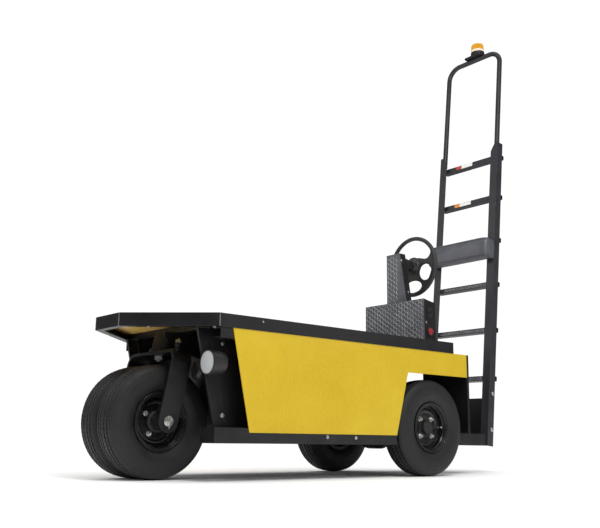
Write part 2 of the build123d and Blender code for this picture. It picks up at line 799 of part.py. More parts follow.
# Beacon, on a bracket saddled on the hoop's top tube
hoop_crest = hoop_start + lean_axis * hoop_rise
seat = hoop_crest + Vector(0, beacon_side, hoop_tube / 2)
with BuildPart() as beacon_base:
    with BuildSketch(Plane.XY.offset(seat.Z - beacon_saddle)):
        with Locations((seat.X, beacon_plate_side)):
            RectangleRounded(2 * beacon_foot_radius, 2 * beacon_plate_half, beacon_foot_radius / 3)
    extrude(amount=beacon_saddle + beacon_plate_sheet)
    add(turned([
        (0, 0), (0, beacon_foot_radius), (beacon_base_height * 0.6, beacon_foot_radius),
        (beacon_base_height, beacon_radius), (beacon_base_height, 0),
    ], seat, (0, 0, 1)))
    with BuildSketch(Plane(origin=hoop_crest, x_dir=(1, 0, 0), z_dir=(0, -1, 0))):
        Circle(hoop_tube / 2)
    extrude(amount=beacon_side + beacon_plate_half * 2, both=True, mode=Mode.SUBTRACT)
save(beacon_base, "beacon_base")

with BuildPart() as beacon_lens:
    add(turned([
        (0, 0), (0, beacon_radius), (beacon_lens_height * 0.8, beacon_radius * 0.96),
        (beacon_lens_height, beacon_radius * 0.78), (beacon_lens_height, 0),
    ], seat + Vector(0, 0, beacon_base_height), (0, 0, 1)))
save(beacon_lens, "beacon_lens")

# Console: a tread plate front with a narrow tower, a folded box behind it, and the column
tower_half = tower_width / 2
console_half = console_width / 2
with BuildPart() as console_plate:
    with BuildSketch(Plane(origin=(at(console_front), 0, 0), x_dir=(0, 1, 0), z_dir=(1, 0, 0))):
        with BuildLine():
            Polyline(
                (-console_half, board_top), (-console_half, console_height), (-tower_half, console_height),
                (-tower_half, tower_height), (tower_half, tower_height), (tower_half, console_height),
                (console_half, console_height), (console_half, board_top), close=True)
        make_face()
    extrude(amount=-console_sheet)
    for side in (left, right):
        with BuildSketch(Plane(origin=(0, side * tower_half, 0), x_dir=(1, 0, 0), z_dir=(0, -1, 0))):
            with BuildLine():
                plate_back = console_front - console_sheet
                Polyline((at(plate_back), console_height), (at(plate_back), tower_height),
                         (at(plate_back - wedge_foot_depth), console_height), close=True)
            make_face()
        extrude(amount=side * console_sheet)
save(console_plate, "console_plate")

# The box stands on the board and over the band's upper edge, and hangs behind the deck.
with BuildPart() as console_box:
    for half, inset, mode in ((console_half, 0, Mode.ADD), (console_half - console_sheet, console_sheet, Mode.SUBTRACT)):
        seat = board_top - inset
        extrude(side_view([
            (plate_back, seat), (plate_back, console_height - inset),
            (console_rear + inset, console_height - console_side_slope - inset),
            (console_rear + inset, deck_bottom - inset), (deck_rear, deck_bottom - inset),
            (deck_rear, deck_top - inset), (deck_rear + band_sheet, deck_top - inset), (deck_rear + band_sheet, seat),
        ]), amount=half, both=True, mode=mode)
save(console_box, "console_box")

# Tower cover: a slanted channel behind the tread plate's wedge, carrying the column
foot_back = plate_back - wedge_foot_depth
with BuildPart() as tower_cover:
    for half, inset, mode in ((tower_half, 0, Mode.ADD), (tower_half - console_sheet, console_sheet, Mode.SUBTRACT)):
        extrude(side_view([
            (plate_back, tower_height - inset), (foot_back, console_height),
            (foot_back - cover_depth + inset, console_height), (plate_back - cover_depth + inset, tower_height - inset),
        ]), amount=half, both=True, mode=mode)
save(tower_cover, "tower_cover")

wheel_height = tower_height - wheel_drop
cover_lean = wedge_foot_depth / (tower_height - console_height)
shroud_end = plate_back - cover_depth - (tower_height - wheel_height) * cover_lean + shroud_radius * cover_lean
column_start = wheel_station + wheel_hub_depth
with BuildPart() as column_shroud:
    add(turned([
        (0, 0), (0, column_radius), (shroud_end - column_start, shroud_radius), (shroud_end - column_start, 0),
    ], (at(column_start), 0, wheel_height), (1, 0, 0)))
    extrude(side_view([
        (plate_back - cover_depth, tower_height), (foot_back - cover_depth, console_height),
        (console_front, console_height), (console_front, tower_height),
    ]), amount=2 * shroud_radius, both=True, mode=Mode.SUBTRACT)
save(column_shroud, "column_shroud")

# Steering wheel: a round grip, a hub pad and four spokes that flare into the grip
wheel_plane = Plane(origin=(at(wheel_station), 0, wheel_height), x_dir=(0, 1, 0), z_dir=(1, 0, 0))
grip_centre = wheel_radius - wheel_grip
grip_inside = grip_centre - wheel_grip
with BuildPart() as steering_wheel:
    with BuildSketch(Plane(origin=(at(wheel_station), 0, wheel_height), x_dir=(0, 1, 0), z_dir=(0, 0, 1))):
        with Locations((grip_centre, 0)):
            RegularPolygon(wheel_grip, 10)
    revolve(axis=Axis((at(wheel_station), 0, wheel_height), (1, 0, 0)))
    with BuildSketch(wheel_plane.offset(-spoke_sheet / 2)):
        Circle(grip_centre)
        with Locations((side_hole_across, -side_hole_drop), (-side_hole_across, -side_hole_drop)):
            Ellipse(*side_hole, mode=Mode.SUBTRACT)
        with Locations((0, -low_hole_drop)):
            Ellipse(*low_hole, mode=Mode.SUBTRACT)
        with BuildLine():
            upper = [*spoke_edge, *[(-y, z) for y, z in reversed(spoke_edge)]]
            Polyline(*upper)
            ThreePointArc(upper[0], (0, grip_inside), upper[-1])
        make_face(mode=Mode.SUBTRACT)
    extrude(amount=spoke_sheet)
    with BuildSketch(wheel_plane.offset(-wheel_hub_depth / 2)):
        Circle(wheel_hub_radius)
    extrude(amount=1.5 * wheel_hub_depth - face_gap)
save(steering_wheel, "steering_wheel")

with BuildPart() as stop_button:
    with BuildSketch(Plane(origin=(at((plate_back + console_rear) / 2), console_half, console_height - stop_button_drop),
                           x_dir=(-1, 0, 0), z_dir=(0, 1, 0))):
        Circle(stop_button_radius)
    extrude(amount=stop_button_height)
save(stop_button, "stop_button")

# Headlamp: a deep round housing on the left post, with its lens, and the horn beside it
lamp_station, lamp_side = wheel_base - lamp_setback, body_half - lamp_inset
horn_station, horn_side = wheel_base - horn_setback, post_side - horn_inset
lamp_face = (at(lamp_station), lamp_side, lamp_height)
with BuildPart() as headlamp_housing:
    add(turned([
        (-lamp_depth, 0), (-lamp_depth, lamp_bezel_radius * 0.84), (-lamp_depth * 0.7, lamp_bezel_radius * 0.94),
        (-lamp_rim, lamp_bezel_radius * 0.94), (-lamp_rim, lamp_bezel_radius), (0, lamp_bezel_radius),
        (0, lamp_lens_radius), (-lens_seat, lamp_lens_radius), (-lens_seat, 0),
    ], lamp_face, (1, 0, 0)))
    with BuildSketch(Plane.XY.offset(lamp_height - lamp_pad / 2)):
        with Locations((at(lamp_station - lamp_depth * 0.59), (post_side + lamp_side) / 2)):
            Rectangle(lamp_pad, lamp_side - post_side)
    extrude(amount=lamp_pad)
save(headlamp_housing, "headlamp_housing")

with BuildPart() as headlamp_lens:
    add(turned([
        (-lens_seat, 0), (-lens_seat, lamp_lens_radius), (0, lamp_lens_radius), (lens_crown * 0.7, lamp_lens_radius * 0.6),
        (lens_crown, 0),
    ], lamp_face, (1, 0, 0)))
save(headlamp_lens, "headlamp_lens")

with BuildPart() as horn:
    add(turned([
        (-horn_depth, 0), (-horn_depth, horn_radius * 0.6), (-horn_depth * 0.5, horn_radius),
        (-horn_depth * 0.2, horn_radius), (0, horn_radius * 0.7), (0, 0),
    ], (at(horn_station), horn_side, horn_height), (1, 0, 0)))
    horn_reach = post_side - post_flange - horn_side
    with BuildSketch(Plane.XY.offset(horn_height - horn_strap / 2)):
        with Locations((at(post_front(horn_height) - post_sheet / 2), horn_side + horn_reach / 2)):
            Rectangle(post_sheet, horn_reach)
    extrude(amount=horn_strap)
save(horn, "horn")
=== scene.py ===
# %% [markdown]
# # A stand-up burden carrier, finished in Blender
#
# The vehicle comes in as a packed set of solid pieces: fork, wheels, deck, console, ladder.
# They have the right size and place. What they lack is everything that makes metal look like
# metal and rubber like rubber: tread, nuts, padded vinyl, grit, ribs in a lens, a soft edge.
# This notebook adds that, one piece at a time. New shapes are surfaces worked out with numpy.

import bmesh
import bpy
import numpy as np
from mathutils import Matrix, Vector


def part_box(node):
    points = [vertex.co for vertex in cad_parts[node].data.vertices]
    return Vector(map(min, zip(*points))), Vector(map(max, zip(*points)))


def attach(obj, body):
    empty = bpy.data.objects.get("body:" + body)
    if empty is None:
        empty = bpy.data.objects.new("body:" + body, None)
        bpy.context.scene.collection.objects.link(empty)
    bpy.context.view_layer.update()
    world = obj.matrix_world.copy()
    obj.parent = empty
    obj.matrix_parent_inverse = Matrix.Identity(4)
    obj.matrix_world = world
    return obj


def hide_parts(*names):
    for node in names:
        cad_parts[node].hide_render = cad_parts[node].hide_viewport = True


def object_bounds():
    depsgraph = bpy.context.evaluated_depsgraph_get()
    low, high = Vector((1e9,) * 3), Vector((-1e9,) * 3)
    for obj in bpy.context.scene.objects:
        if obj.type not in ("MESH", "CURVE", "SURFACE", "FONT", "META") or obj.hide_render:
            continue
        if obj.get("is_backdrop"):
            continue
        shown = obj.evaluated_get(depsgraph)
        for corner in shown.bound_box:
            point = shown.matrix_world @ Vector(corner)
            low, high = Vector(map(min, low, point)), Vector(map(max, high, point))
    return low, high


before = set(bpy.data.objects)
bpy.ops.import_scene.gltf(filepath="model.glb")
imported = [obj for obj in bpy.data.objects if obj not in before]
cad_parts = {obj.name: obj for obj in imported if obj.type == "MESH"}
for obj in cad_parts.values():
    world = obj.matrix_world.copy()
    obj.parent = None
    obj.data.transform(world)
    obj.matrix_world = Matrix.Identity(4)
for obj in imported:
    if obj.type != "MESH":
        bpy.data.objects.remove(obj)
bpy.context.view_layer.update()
mm = 0.001
print("pieces in the frame:", len(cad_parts))

# %% [markdown]
# ## Finding places on the vehicle
#
# Every new part has to sit on something. Rather than typing coordinates, we ask for the box of
# the piece that carries it. Lengthwise places are stations, in millimetres forward of the rear
# axle, because that is how a vehicle drawing gives them.

# %% Stations, heights and boxes
def middle(node):
    """The middle of a piece's box, as an array."""
    low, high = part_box(node)
    return (np.array(low) + np.array(high)) / 2


rear_axle_x = middle("rear_tyre_left")[0]
front_axle = middle("front_axle")
print("wheelbase, mm:", round((front_axle[0] - rear_axle_x) / mm, 1))


def spot(station, side, height):
    """A point from a station, a distance to the left and a height, all in millimetres."""
    return np.array((rear_axle_x + station * mm, side * mm, height * mm))


# %% [markdown]
# ## The camera
#
# The picture was taken from low down, in front of the truck's left side, with the camera tipped
# up a little. The lens was worked out from the straight edges of the deck and the ladder. A camera
# looks along its own minus Z, so its axes are built from the direction that it looks in.

# %% Camera
yaw, pitch, roll = np.radians((-130.25, 12.11, -0.73))
look = np.array((np.cos(yaw) * np.cos(pitch), np.sin(yaw) * np.cos(pitch), np.sin(pitch)))
level_right = np.array((np.sin(yaw), -np.cos(yaw), 0.0))
level_down = np.cross(look, level_right)
right_way = np.cos(roll) * level_right + np.sin(roll) * level_down
down_way = -np.sin(roll) * level_right + np.cos(roll) * level_down

lens = bpy.data.cameras.new("studio_camera")
lens.lens, lens.sensor_width = 48.92, 36.0
lens.clip_end = 100.0
camera = bpy.data.objects.new("studio_camera", lens)
bpy.context.scene.collection.objects.link(camera)
turn = np.eye(4)
turn[:3, 0], turn[:3, 1], turn[:3, 2] = right_way, -down_way, -look
turn[:3, 3] = spot(3058.0, 3000.5, 166.5)
camera.matrix_world = Matrix(turn.tolist())
bpy.context.scene.camera = camera
print("camera at", np.round(turn[:3, 3], 3))

# %% [markdown]
# ## Studio
#
# Catalogue pictures of machines are shot in a white room with a seamless white floor. Black flags
# keep the white walls out of the paint, or black parts would look grey. Here the camera sees pure
# white, dull surfaces get most of that light, and mirror reflections only a small part of it. The
# light from overhead is a sun so wide that its shadows are soft. Five square soft lights stand
# round the truck. The strongest, high on the left, picks out the ladder and the console.

# %% Colours, nodes and studio
def linear(code):
    """An sRGB hex colour as linear light: c / 12.92 when dark, else ((c + 0.055) / 1.055) ^ 2.4."""
    channel = np.array([int(code[i:i + 2], 16) for i in (1, 3, 5)]) / 255
    low, high = channel / 12.92, ((channel + 0.055) / 1.055) ** 2.4
    return (*np.where(channel <= 0.04045, low, high).tolist(), 1.0)


def node(tree, kind, inputs=None, **settings):
    """One shader node with its settings. An input is a value, or another node's output to link."""
    made = tree.nodes.new(kind)
    for name, value in settings.items():
        setattr(made, name, value)
    for name, value in (inputs or {}).items():
        if isinstance(value, bpy.types.NodeSocket):
            tree.links.new(value, made.inputs[name])
        else:
            made.inputs[name].default_value = value
    return made


def plain(name, colour, roughness):
    """A bare material for what isn't part of the vehicle."""
    material = bpy.data.materials.new(name)
    material.use_nodes = True
    shader = material.node_tree.nodes["Principled BSDF"]
    shader.inputs["Base Color"].default_value = linear(colour)
    shader.inputs["Roughness"].default_value = roughness
    return material


def lamp(name, place, aim, size, power):
    """A square soft white light of a size in metres, turned to look at a point."""
    light = bpy.data.lights.new(name, "AREA")
    light.shape, light.size, light.energy = "SQUARE", size, power
    made = bpy.data.objects.new(name, light)
    bpy.context.scene.collection.objects.link(made)
    away = np.array(place, float) - np.array(aim, float)
    away /= np.linalg.norm(away)
    level = np.cross((0.0, 0.0, 1.0), away)
    level /= np.linalg.norm(level)
    pose = np.eye(4)
    pose[:3, 0], pose[:3, 1], pose[:3, 2], pose[:3, 3] = level, np.cross(away, level), away, place
    made.matrix_world = Matrix(pose.tolist())


room = bpy.data.worlds.new("white_room")
bpy.context.scene.world = room
room.use_nodes = True
backdrop = room.node_tree.nodes["Background"]
backdrop.inputs["Color"].default_value = linear("#ffffff")
dull_light, mirror_light, camera_light = 0.66, 0.12, 1.05
ray = node(room.node_tree, "ShaderNodeLightPath").outputs
flag = node(room.node_tree, "ShaderNodeMapRange",
            {"Value": ray["Is Glossy Ray"], "To Min": dull_light, "To Max": mirror_light})
seen = node(room.node_tree, "ShaderNodeMapRange",
            {"Value": ray["Is Camera Ray"], "To Min": flag.outputs["Result"], "To Max": camera_light})
room.node_tree.links.new(seen.outputs["Result"], backdrop.inputs["Strength"])

ceiling = bpy.data.lights.new("ceiling", "SUN")
ceiling.energy, ceiling.angle = 1.15, np.radians(80.0)
bpy.context.scene.collection.objects.link(bpy.data.objects.new("ceiling", ceiling))
lamp("left_softbox", (1.8, 4.6, 2.4), (0.2, 0.0, 0.8), 1.6, 9.0)
lamp("rear_left_softbox", (-2.8, 4.0, 1.9), (0.0, 0.0, 0.6), 1.6, 11.0)
lamp("front_right_softbox", (3.0, -2.8, 3.0), (-0.2, 0.0, 1.1), 1.6, 26.0)
lamp("high_left_softbox", (1.2, 2.6, 3.3), (-1.1, 0.0, 1.7), 1.0, 60.0)
lamp("front_softbox", (4.8, 0.6, 2.2), (0.4, 0.0, 0.8), 1.4, 3.0)

floor_mesh = bpy.data.meshes.new("studio_floor")
reach = 2.9
floor_corners = [(-reach, -reach, 0), (reach, -reach, 0), (reach, reach, 0), (-reach, reach, 0)]
floor_mesh.from_pydata(floor_corners, [], [(0, 1, 2, 3)])
studio_floor = bpy.data.objects.new("studio_floor", floor_mesh)
bpy.context.scene.collection.objects.link(studio_floor)
floor_mesh.materials.append(plain("seamless_paper", "#fbfbfb", 1.0))
floor_mesh.materials[0].node_tree.nodes["Principled BSDF"].inputs["Specular IOR Level"].default_value = 0.0
studio_floor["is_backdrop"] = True
bpy.context.scene.view_settings.view_transform = "Standard"

# %% [markdown]
# ## How a finish is built
#
# Each material starts from the real one: its name, how its surface was made, its colour. Three
# things then take it away from a flat colour. The colour drifts a little over the piece, a
# fine texture catches the light, and sharp edges are softened, because no folded or cast edge is
# a perfect corner. The softened edge also marks a thin line along each edge, where another colour
# is painted: a painted highlight on the dark finishes, a darker line on the yellow.

# %% The helpers that every finish shares
def finish(name, colour, roughness, metallic=0.0, **sockets):
    """A material with its colour, roughness and metal set on the shader. Gives the parts to build on."""
    material = bpy.data.materials.new(name)
    material.use_nodes = True
    tree = material.node_tree
    shader = tree.nodes["Principled BSDF"]
    shader.inputs["Base Color"].default_value = linear(colour)
    shader.inputs["Roughness"].default_value = roughness
    shader.inputs["Metallic"].default_value = metallic
    for socket, value in sockets.items():
        shader.inputs[socket.replace("_", " ")].default_value = value
    place = node(tree, "ShaderNodeTexCoord").outputs["Object"]
    return material, tree, shader, place


def drift(tree, shader, place, size, colours, roughness):
    """Colour and roughness that wander between two values over patches of a size in millimetres."""
    cloud = node(tree, "ShaderNodeTexNoise",
                 {"Vector": place, "Scale": 1000 / size, "Detail": 5.0, "Roughness": 0.6})
    spread = node(tree, "ShaderNodeMapRange",
                  {"Value": cloud.outputs["Fac"], "From Min": 0.32, "From Max": 0.68})
    blend = node(tree, "ShaderNodeMix", {"Factor": spread.outputs["Result"], 6: linear(colours[0]),
                                         7: linear(colours[1])}, data_type="RGBA")
    gloss = node(tree, "ShaderNodeMapRange",
                 {"Value": cloud.outputs["Fac"], "From Min": 0.3, "From Max": 0.7,
                  "To Min": roughness[0], "To Max": roughness[1]})
    tree.links.new(blend.outputs[2], shader.inputs["Base Color"])
    tree.links.new(gloss.outputs["Result"], shader.inputs["Roughness"])
    return blend.outputs[2]


def soft_edges(tree, shader, radius, colour=None, edge_paint=None, amount=0.6):
    """Edges rounded in the shading by a radius in millimetres. A painted edge colour shows over the colour
    given where the dot product of the rounded and the true direction falls from 0.99 to 0.8: a painted
    highlight line on the dark finishes."""
    eased = node(tree, "ShaderNodeBevel", {"Radius": radius * mm}, samples=6)
    tree.links.new(eased.outputs["Normal"], shader.inputs["Normal"])
    # edge_paint: a colour painted along the edges, a painted highlight on the dark finishes
    if edge_paint is not None:
        true_way = node(tree, "ShaderNodeNewGeometry").outputs["Normal"]
        match = node(tree, "ShaderNodeVectorMath", {0: eased.outputs["Normal"], 1: true_way},
                     operation="DOT_PRODUCT")
        mask = node(tree, "ShaderNodeMapRange", {"Value": match.outputs["Value"], "From Min": 0.99,
                                                 "From Max": 0.8, "To Min": 0.0, "To Max": amount})
        show = node(tree, "ShaderNodeMix", {"Factor": mask.outputs["Result"], 6: colour, 7: linear(edge_paint)},
                    data_type="RGBA")
        tree.links.new(show.outputs[2], shader.inputs["Base Color"])
    return eased.outputs["Normal"]


def grain(tree, shader, place, size, depth, under=None, detail=2.0):
    """A fine bump: noise of a size in millimetres, raised by a depth in millimetres."""
    pattern = node(tree, "ShaderNodeTexNoise", {"Vector": place, "Scale": 1000 / size, "Detail": detail})
    bump = node(tree, "ShaderNodeBump",
                {"Height": pattern.outputs["Fac"], "Distance": depth * mm, "Strength": 1.0})
    if under is not None:
        tree.links.new(under, bump.inputs["Normal"])
    tree.links.new(bump.outputs["Normal"], shader.inputs["Normal"])


def layered(name, colour, roughness, patch, edge=None, fine=None, metallic=0.0, **sockets):
    """A finish in layers. The patch is its drift (size, colours, roughness), the edge its softening
    (radius, and the colour painted along the edges and its amount), and fine its grain (size, depth)."""
    material, tree, shader, place = finish(name, colour, roughness, metallic, **sockets)
    shade, eased = drift(tree, shader, place, *patch), None
    if edge:
        eased = soft_edges(tree, shader, edge[0], shade, *edge[1:])
    if fine:
        grain(tree, shader, place, *fine[:2], eased, *fine[2:])
    return material


# %% [markdown]
# ## Paints and metals
#
# The chassis is powder coated black steel: baked plastic powder, satin, with a slight orange peel
# a few millimetres across. Thin lighter lines are painted along the edges as highlights, which
# keep black shapes readable.
# The side panels have a glossier enamel in safety yellow.

# %% Powder coat, enamel and bare metal
# In each finish below, the colour after the edge radius is painted along the edges: a painted highlight on
# the dark finishes, a darker line on the yellow.
powder_coat = layered("satin_black_powder_coat", "#161618", 0.36,
                      (160, ("#101012", "#1b1b1e"), (0.3, 0.44)), (1.8, "#4a4a4e", 0.6), (2.2, 0.05))
yellow_enamel = layered("safety_yellow_enamel", "#c9a908", 0.36, (240, ("#c6a505", "#cdae0d"), (0.34, 0.44)),
                        (1.2, "#b98f10", 0.5), (5.0, 0.05), Coat_Weight=0.1)
# The ladder's grey-black is lighter than the chassis black: partly its own satin paint, partly painted light
# for the white room that the ladder and hoop reflect.
ladder_paint = layered("black_ladder_paint_lightened_for_reflections", "#2b2b30", 0.42,
                       (110, ("#26262a", "#323238"), (0.36, 0.5)), (1.6, "#5c5c62", 0.6), (2.0, 0.06))
tread_ground = layered("lacquered_chequer_plate", "#626367", 0.42, (90, ("#55565a", "#6c6d72"), (0.36, 0.5)),
                       (1.6, "#8a8b90", 0.6), (1.6, 0.06), metallic=0.4)
# The bars' bright colour is partly rubbed bare steel and partly a painted highlight for the shine along the
# bars.
tread_crest = layered("bar_tops_rubbed_and_painted_highlight", "#b9babd", 0.34,
                      (60, ("#a3a4a8", "#cfd0d2"), (0.28, 0.42)), metallic=0.85)
rim_enamel = layered("black_wheel_enamel", "#111113", 0.28, (60, ("#0d0d0f", "#1a1a1c"), (0.22, 0.36)),
                     (1.2, "#4a4a4d", 0.5), (3.0, 0.06))
zinc_plate = layered("bright_zinc_plate", "#c9cac6", 0.3, (9, ("#b4b6b4", "#d8d8d2"), (0.24, 0.4)),
                     fine=(0.8, 0.03), metallic=1.0)
black_casting = layered("painted_iron_casting", "#19191b", 0.6,
                        (40, ("#131315", "#232325"), (0.5, 0.7)), (2.5,), (2.4, 0.35))
spring_steel = layered("oiled_spring_steel", "#2a2a2c", 0.4, (25, ("#222224", "#38383a"), (0.3, 0.5)),
                       (1.0,), (1.5, 0.08), metallic=0.7)

# %% [markdown]
# ## Rubber, plastics and board
#
# Tyre rubber is nearly black, dull on the tread and slightly sheened on the sidewall. The moulded
# plastic of the column and the lamp has a fine leather-like grain. The deck's board is bare
# underneath, so its face veneer shows: long grain a few millimetres apart that runs the length of it.

# %% Rubber, plastics, board and grit
# The tyre's lighter edge colour is a painted highlight along the edges of the tread and the ridges.
tyre_rubber = layered("vulcanised_tyre_rubber", "#19191a", 0.62,
                      (45, ("#131314", "#1d1d1e"), (0.52, 0.72)), (1.6, "#5a5a5c", 0.6), (1.4, 0.12))
grained_plastic = layered("grained_black_polypropylene", "#1c1c1e", 0.5,
                          (60, ("#18181a", "#232325"), (0.42, 0.56)), (1.5,), (1.2, 0.12))
# The wheel's plastic is a lighter copy of the column's black plastic, with a painted highlight along its
# edges.
grip_plastic = layered("lighter_steering_wheel_polyurethane", "#2e2e30", 0.5,
                       (60, ("#28282a", "#363638"), (0.42, 0.56)), (1.5, "#58585b", 0.6), (1.2, 0.12))
battery_plastic = layered("battery_case_polypropylene", "#141416", 0.4,
                          (80, ("#111113", "#1d1d1f"), (0.34, 0.48)), (4.0,))

plywood, tree, shader, place = finish("bare_plywood_veneer", "#deb455", 0.6)
along = node(tree, "ShaderNodeMapping", {"Vector": place, "Scale": (1.2, 38.0, 38.0)})
figure = node(tree, "ShaderNodeTexNoise", {"Vector": along.outputs["Vector"], "Scale": 6.0, "Detail": 6.0,
                                           "Distortion": 0.6})
bands = node(tree, "ShaderNodeMapRange", {"Value": figure.outputs["Fac"], "From Min": 0.35, "From Max": 0.65})
wood_colour = node(tree, "ShaderNodeMix", {"Factor": bands.outputs["Result"], 6: linear("#cd9c3e"),
                                           7: linear("#efca6c")}, data_type="RGBA")
tree.links.new(wood_colour.outputs[2], shader.inputs["Base Color"])
wood_bump = node(tree, "ShaderNodeBump", {"Height": figure.outputs["Fac"], "Distance": 0.3 * mm})
tree.links.new(wood_bump.outputs["Normal"], shader.inputs["Normal"])

grit_deck = layered("gritted_black_deck_coating", "#242426", 0.75,
                    (120, ("#1f1f21", "#303032"), (0.66, 0.82)), fine=(2.0, 0.6, 6.0))

# %% Dress the frame's own pieces
dressing = {
    powder_coat: ("battery_tray", "console_box", "deck_band", "deck_bearers", "fork", "front_posts",
                  "head_bracket", "kick_plate", "pedals", "platform_frame", "rear_bulkhead",
                  "side_liners", "side_rails", "spring_rails", "steering_arm", "tower_cover", "horn"),
    ladder_paint: ("beacon_hoop", "ladder_rungs", "ladder_uprights"),
    tread_ground: ("console_plate", "platform_floor"),
    yellow_enamel: ("side_panels",),
    rim_enamel: ("front_rims", "rear_rim_left", "rear_rim_right"),
    black_casting: ("drive_axle", "front_hub", "rear_hub_left", "rear_hub_right"),
    zinc_plate: ("front_axle",),
    spring_steel: ("leaf_springs",),
    tyre_rubber: ("front_tyre_left", "front_tyre_right", "rear_tyre_left", "rear_tyre_right"),
    grained_plastic: ("backrest", "beacon_base", "column_shroud", "headlamp_housing", "steering_wheel"),
    battery_plastic: ("battery_pack",),
    plywood: ("deck_board",),
    grit_deck: ("deck_cover",),
}
for material, names in dressing.items():
    for name in names:
        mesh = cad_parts[name].data
        mesh.materials.clear()
        mesh.materials.append(material)
print("dressed:", sum(map(len, dressing.values())))

# %% [markdown]
# ## Surfaces from arrays
#
# Every new piece below is a surface: a grid of points worked out at once by numpy from two
# parameters, such as an angle round a wheel and a distance along its section. A few helpers turn
# such a grid into faces, repeat it, and carry a section round an axis or along a path.

# %% The helpers that every surface shares
def grid(points, wrap_u=False, wrap_v=False):
    """Faces for points of shape (rows, columns, 3): each joins a point with its next ones along both
    parameters, and a wrapped parameter joins its end to its start."""
    rows, columns = points.shape[:2]
    u = np.arange(rows if wrap_u else rows - 1)[:, None]
    v = np.arange(columns if wrap_v else columns - 1)[None, :]
    corners = [(u, v), (u + 1, v), (u + 1, v + 1), (u, v + 1)]
    faces = np.stack([(a % rows) * columns + b % columns for a, b in corners], axis=-1)
    return points.reshape(-1, 3), faces.reshape(-1, 4)


def together(*shapes):
    """Several shapes as one: points end to end, each shape's faces moved on by the points before it."""
    starts = np.cumsum([0, *[len(points) for points, _ in shapes[:-1]]])
    return (np.concatenate([points for points, _ in shapes]),
            np.concatenate([faces + start for (_, faces), start in zip(shapes, starts)]))


def copies(shape, spots):
    """One shape at many spots: its points plus each spot."""
    points, faces = shape
    spots = np.asarray(spots, float).reshape(-1, 1, 3)
    step = np.arange(len(spots))[:, None, None] * len(points)
    return (points[None] + spots).reshape(-1, 3), (faces[None] + step).reshape(-1, 4)


def unit(way):
    """A direction of length one."""
    way = np.asarray(way, float)
    return way / np.linalg.norm(way, axis=-1, keepdims=True)


def square_to(axis):
    """Two directions square to an axis and to each other."""
    axis = unit(axis)
    first = unit(np.cross((0.0, 0.0, 1.0) if abs(axis[2]) < 0.9 else (1.0, 0.0, 0.0), axis))
    return first, np.cross(axis, first)


def rounded(corners, radius, steps=5, closed=True):
    """A line with its corners rounded. Each corner C becomes (1 - t)^2 A + 2 t (1 - t) C + t^2 B, where
    A and B lie a radius before and after it. A radius of 0 keeps the corner, and so do open ends."""
    corners = np.asarray(corners, float)
    radius = np.array(np.broadcast_to(radius, len(corners)), float)
    if not closed:
        radius[[0, -1]] = 0.0
    ends = []
    for neighbour in (np.roll(corners, 1, axis=0), np.roll(corners, -1, axis=0)):
        run = neighbour - corners
        length = np.maximum(np.linalg.norm(run, axis=1), 1e-9)
        ends.append(corners + run * (np.minimum(radius, 0.49 * length) / length)[:, None])
    t = np.linspace(0.0, 1.0, steps)[None, :, None]
    before, corner, after = (part[:, None] for part in (ends[0], corners, ends[1]))
    line = (1 - t) ** 2 * before + 2 * t * (1 - t) * corner + t ** 2 * after
    return line.reshape(-1, corners.shape[1])


def smooth_line(points, steps):
    """A smooth line through points, with steps to a span: a Catmull-Rom cubic of each span's ends and
    their neighbours."""
    points = np.asarray(points, float)
    held = np.concatenate([2 * points[:1] - points[1:2], points, 2 * points[-1:] - points[-2:-1]])
    t = np.linspace(0.0, 1.0, steps, endpoint=False)[None, :, None]
    a, b, c, d = (held[i:len(held) - 3 + i, None] for i in range(4))
    bend = (2 * a - 5 * b + 4 * c - d) * t ** 2 + (3 * b - a - 3 * c + d) * t ** 3
    spans = 0.5 * (2 * b + (c - a) * t + bend)
    return np.concatenate([spans.reshape(-1, points.shape[1]), points[-1:]])


def turned(profile, centre, axis, segments=96, closed=False):
    """A section carried round an axis, from (distance along the axis, radius) in millimetres:
    P(a, t) = centre + along * axis + radius * (cos a * first + sin a * second)."""
    profile = np.asarray(profile, float)[None] * mm
    first, second = square_to(axis)
    angle = np.linspace(0.0, 2 * np.pi, segments, endpoint=False)[:, None, None]
    out = np.cos(angle) * first + np.sin(angle) * second
    return grid(np.asarray(centre) + profile[..., :1] * unit(axis) + profile[..., 1:] * out, True, closed)


def spun(corners, radius, steps, centre, axis, segments):
    """An open section whose corners are rounded by a radius, carried round an axis."""
    return turned(rounded(corners, radius, steps, closed=False), centre, axis, segments)


def tube(path, radius, segments=12, up=(0.0, 0.0, 1.0)):
    """A round section carried along a path in metres, closed at its ends:
    P(s, a) = path + radius * (cos a * side + sin a * top), with the radius in millimetres."""
    path = np.asarray(path, float)
    along = unit(np.gradient(path, axis=0))
    side = unit(np.cross(along, up))
    top = np.cross(side, along)
    angle = np.linspace(0.0, 2 * np.pi, segments, endpoint=False)[None, :, None]
    ring = np.cos(angle) * side[:, None] + np.sin(angle) * top[:, None]
    reach = np.broadcast_to(np.asarray(radius, float) * mm, len(path))[:, None, None]
    rows = path[:, None] + reach * ring
    caps = [np.broadcast_to(path[i], (1, segments, 3)) for i in (0, -1)]
    return grid(np.concatenate([caps[0], rows, caps[1]]), wrap_v=True)


def slab(outline, origin, across, up, thickness, bevel=0.8):
    """A flat plate with a bevelled edge, from a convex outline of (across, up) in millimetres. Its rows
    are the middle, the outline drawn in by the bevel, and the full outline, on both faces."""
    outline = np.asarray(outline, float)
    middle_point = outline.mean(axis=0)
    away = outline - middle_point
    inner = middle_point + away * (1 - bevel / np.linalg.norm(away, axis=1, keepdims=True))
    core = np.broadcast_to(middle_point, outline.shape)
    rows = np.stack([core, inner, outline, outline, inner, core])
    edge = min(bevel, thickness / 3)
    depth = np.array((0.0, 0.0, edge, thickness - edge, thickness, thickness))
    across, up = unit(across), unit(up)
    points = (np.asarray(origin) + rows[..., :1] * mm * across + rows[..., 1:] * mm * up
              + depth[:, None, None] * mm * np.cross(across, up))
    return grid(points, wrap_v=True)


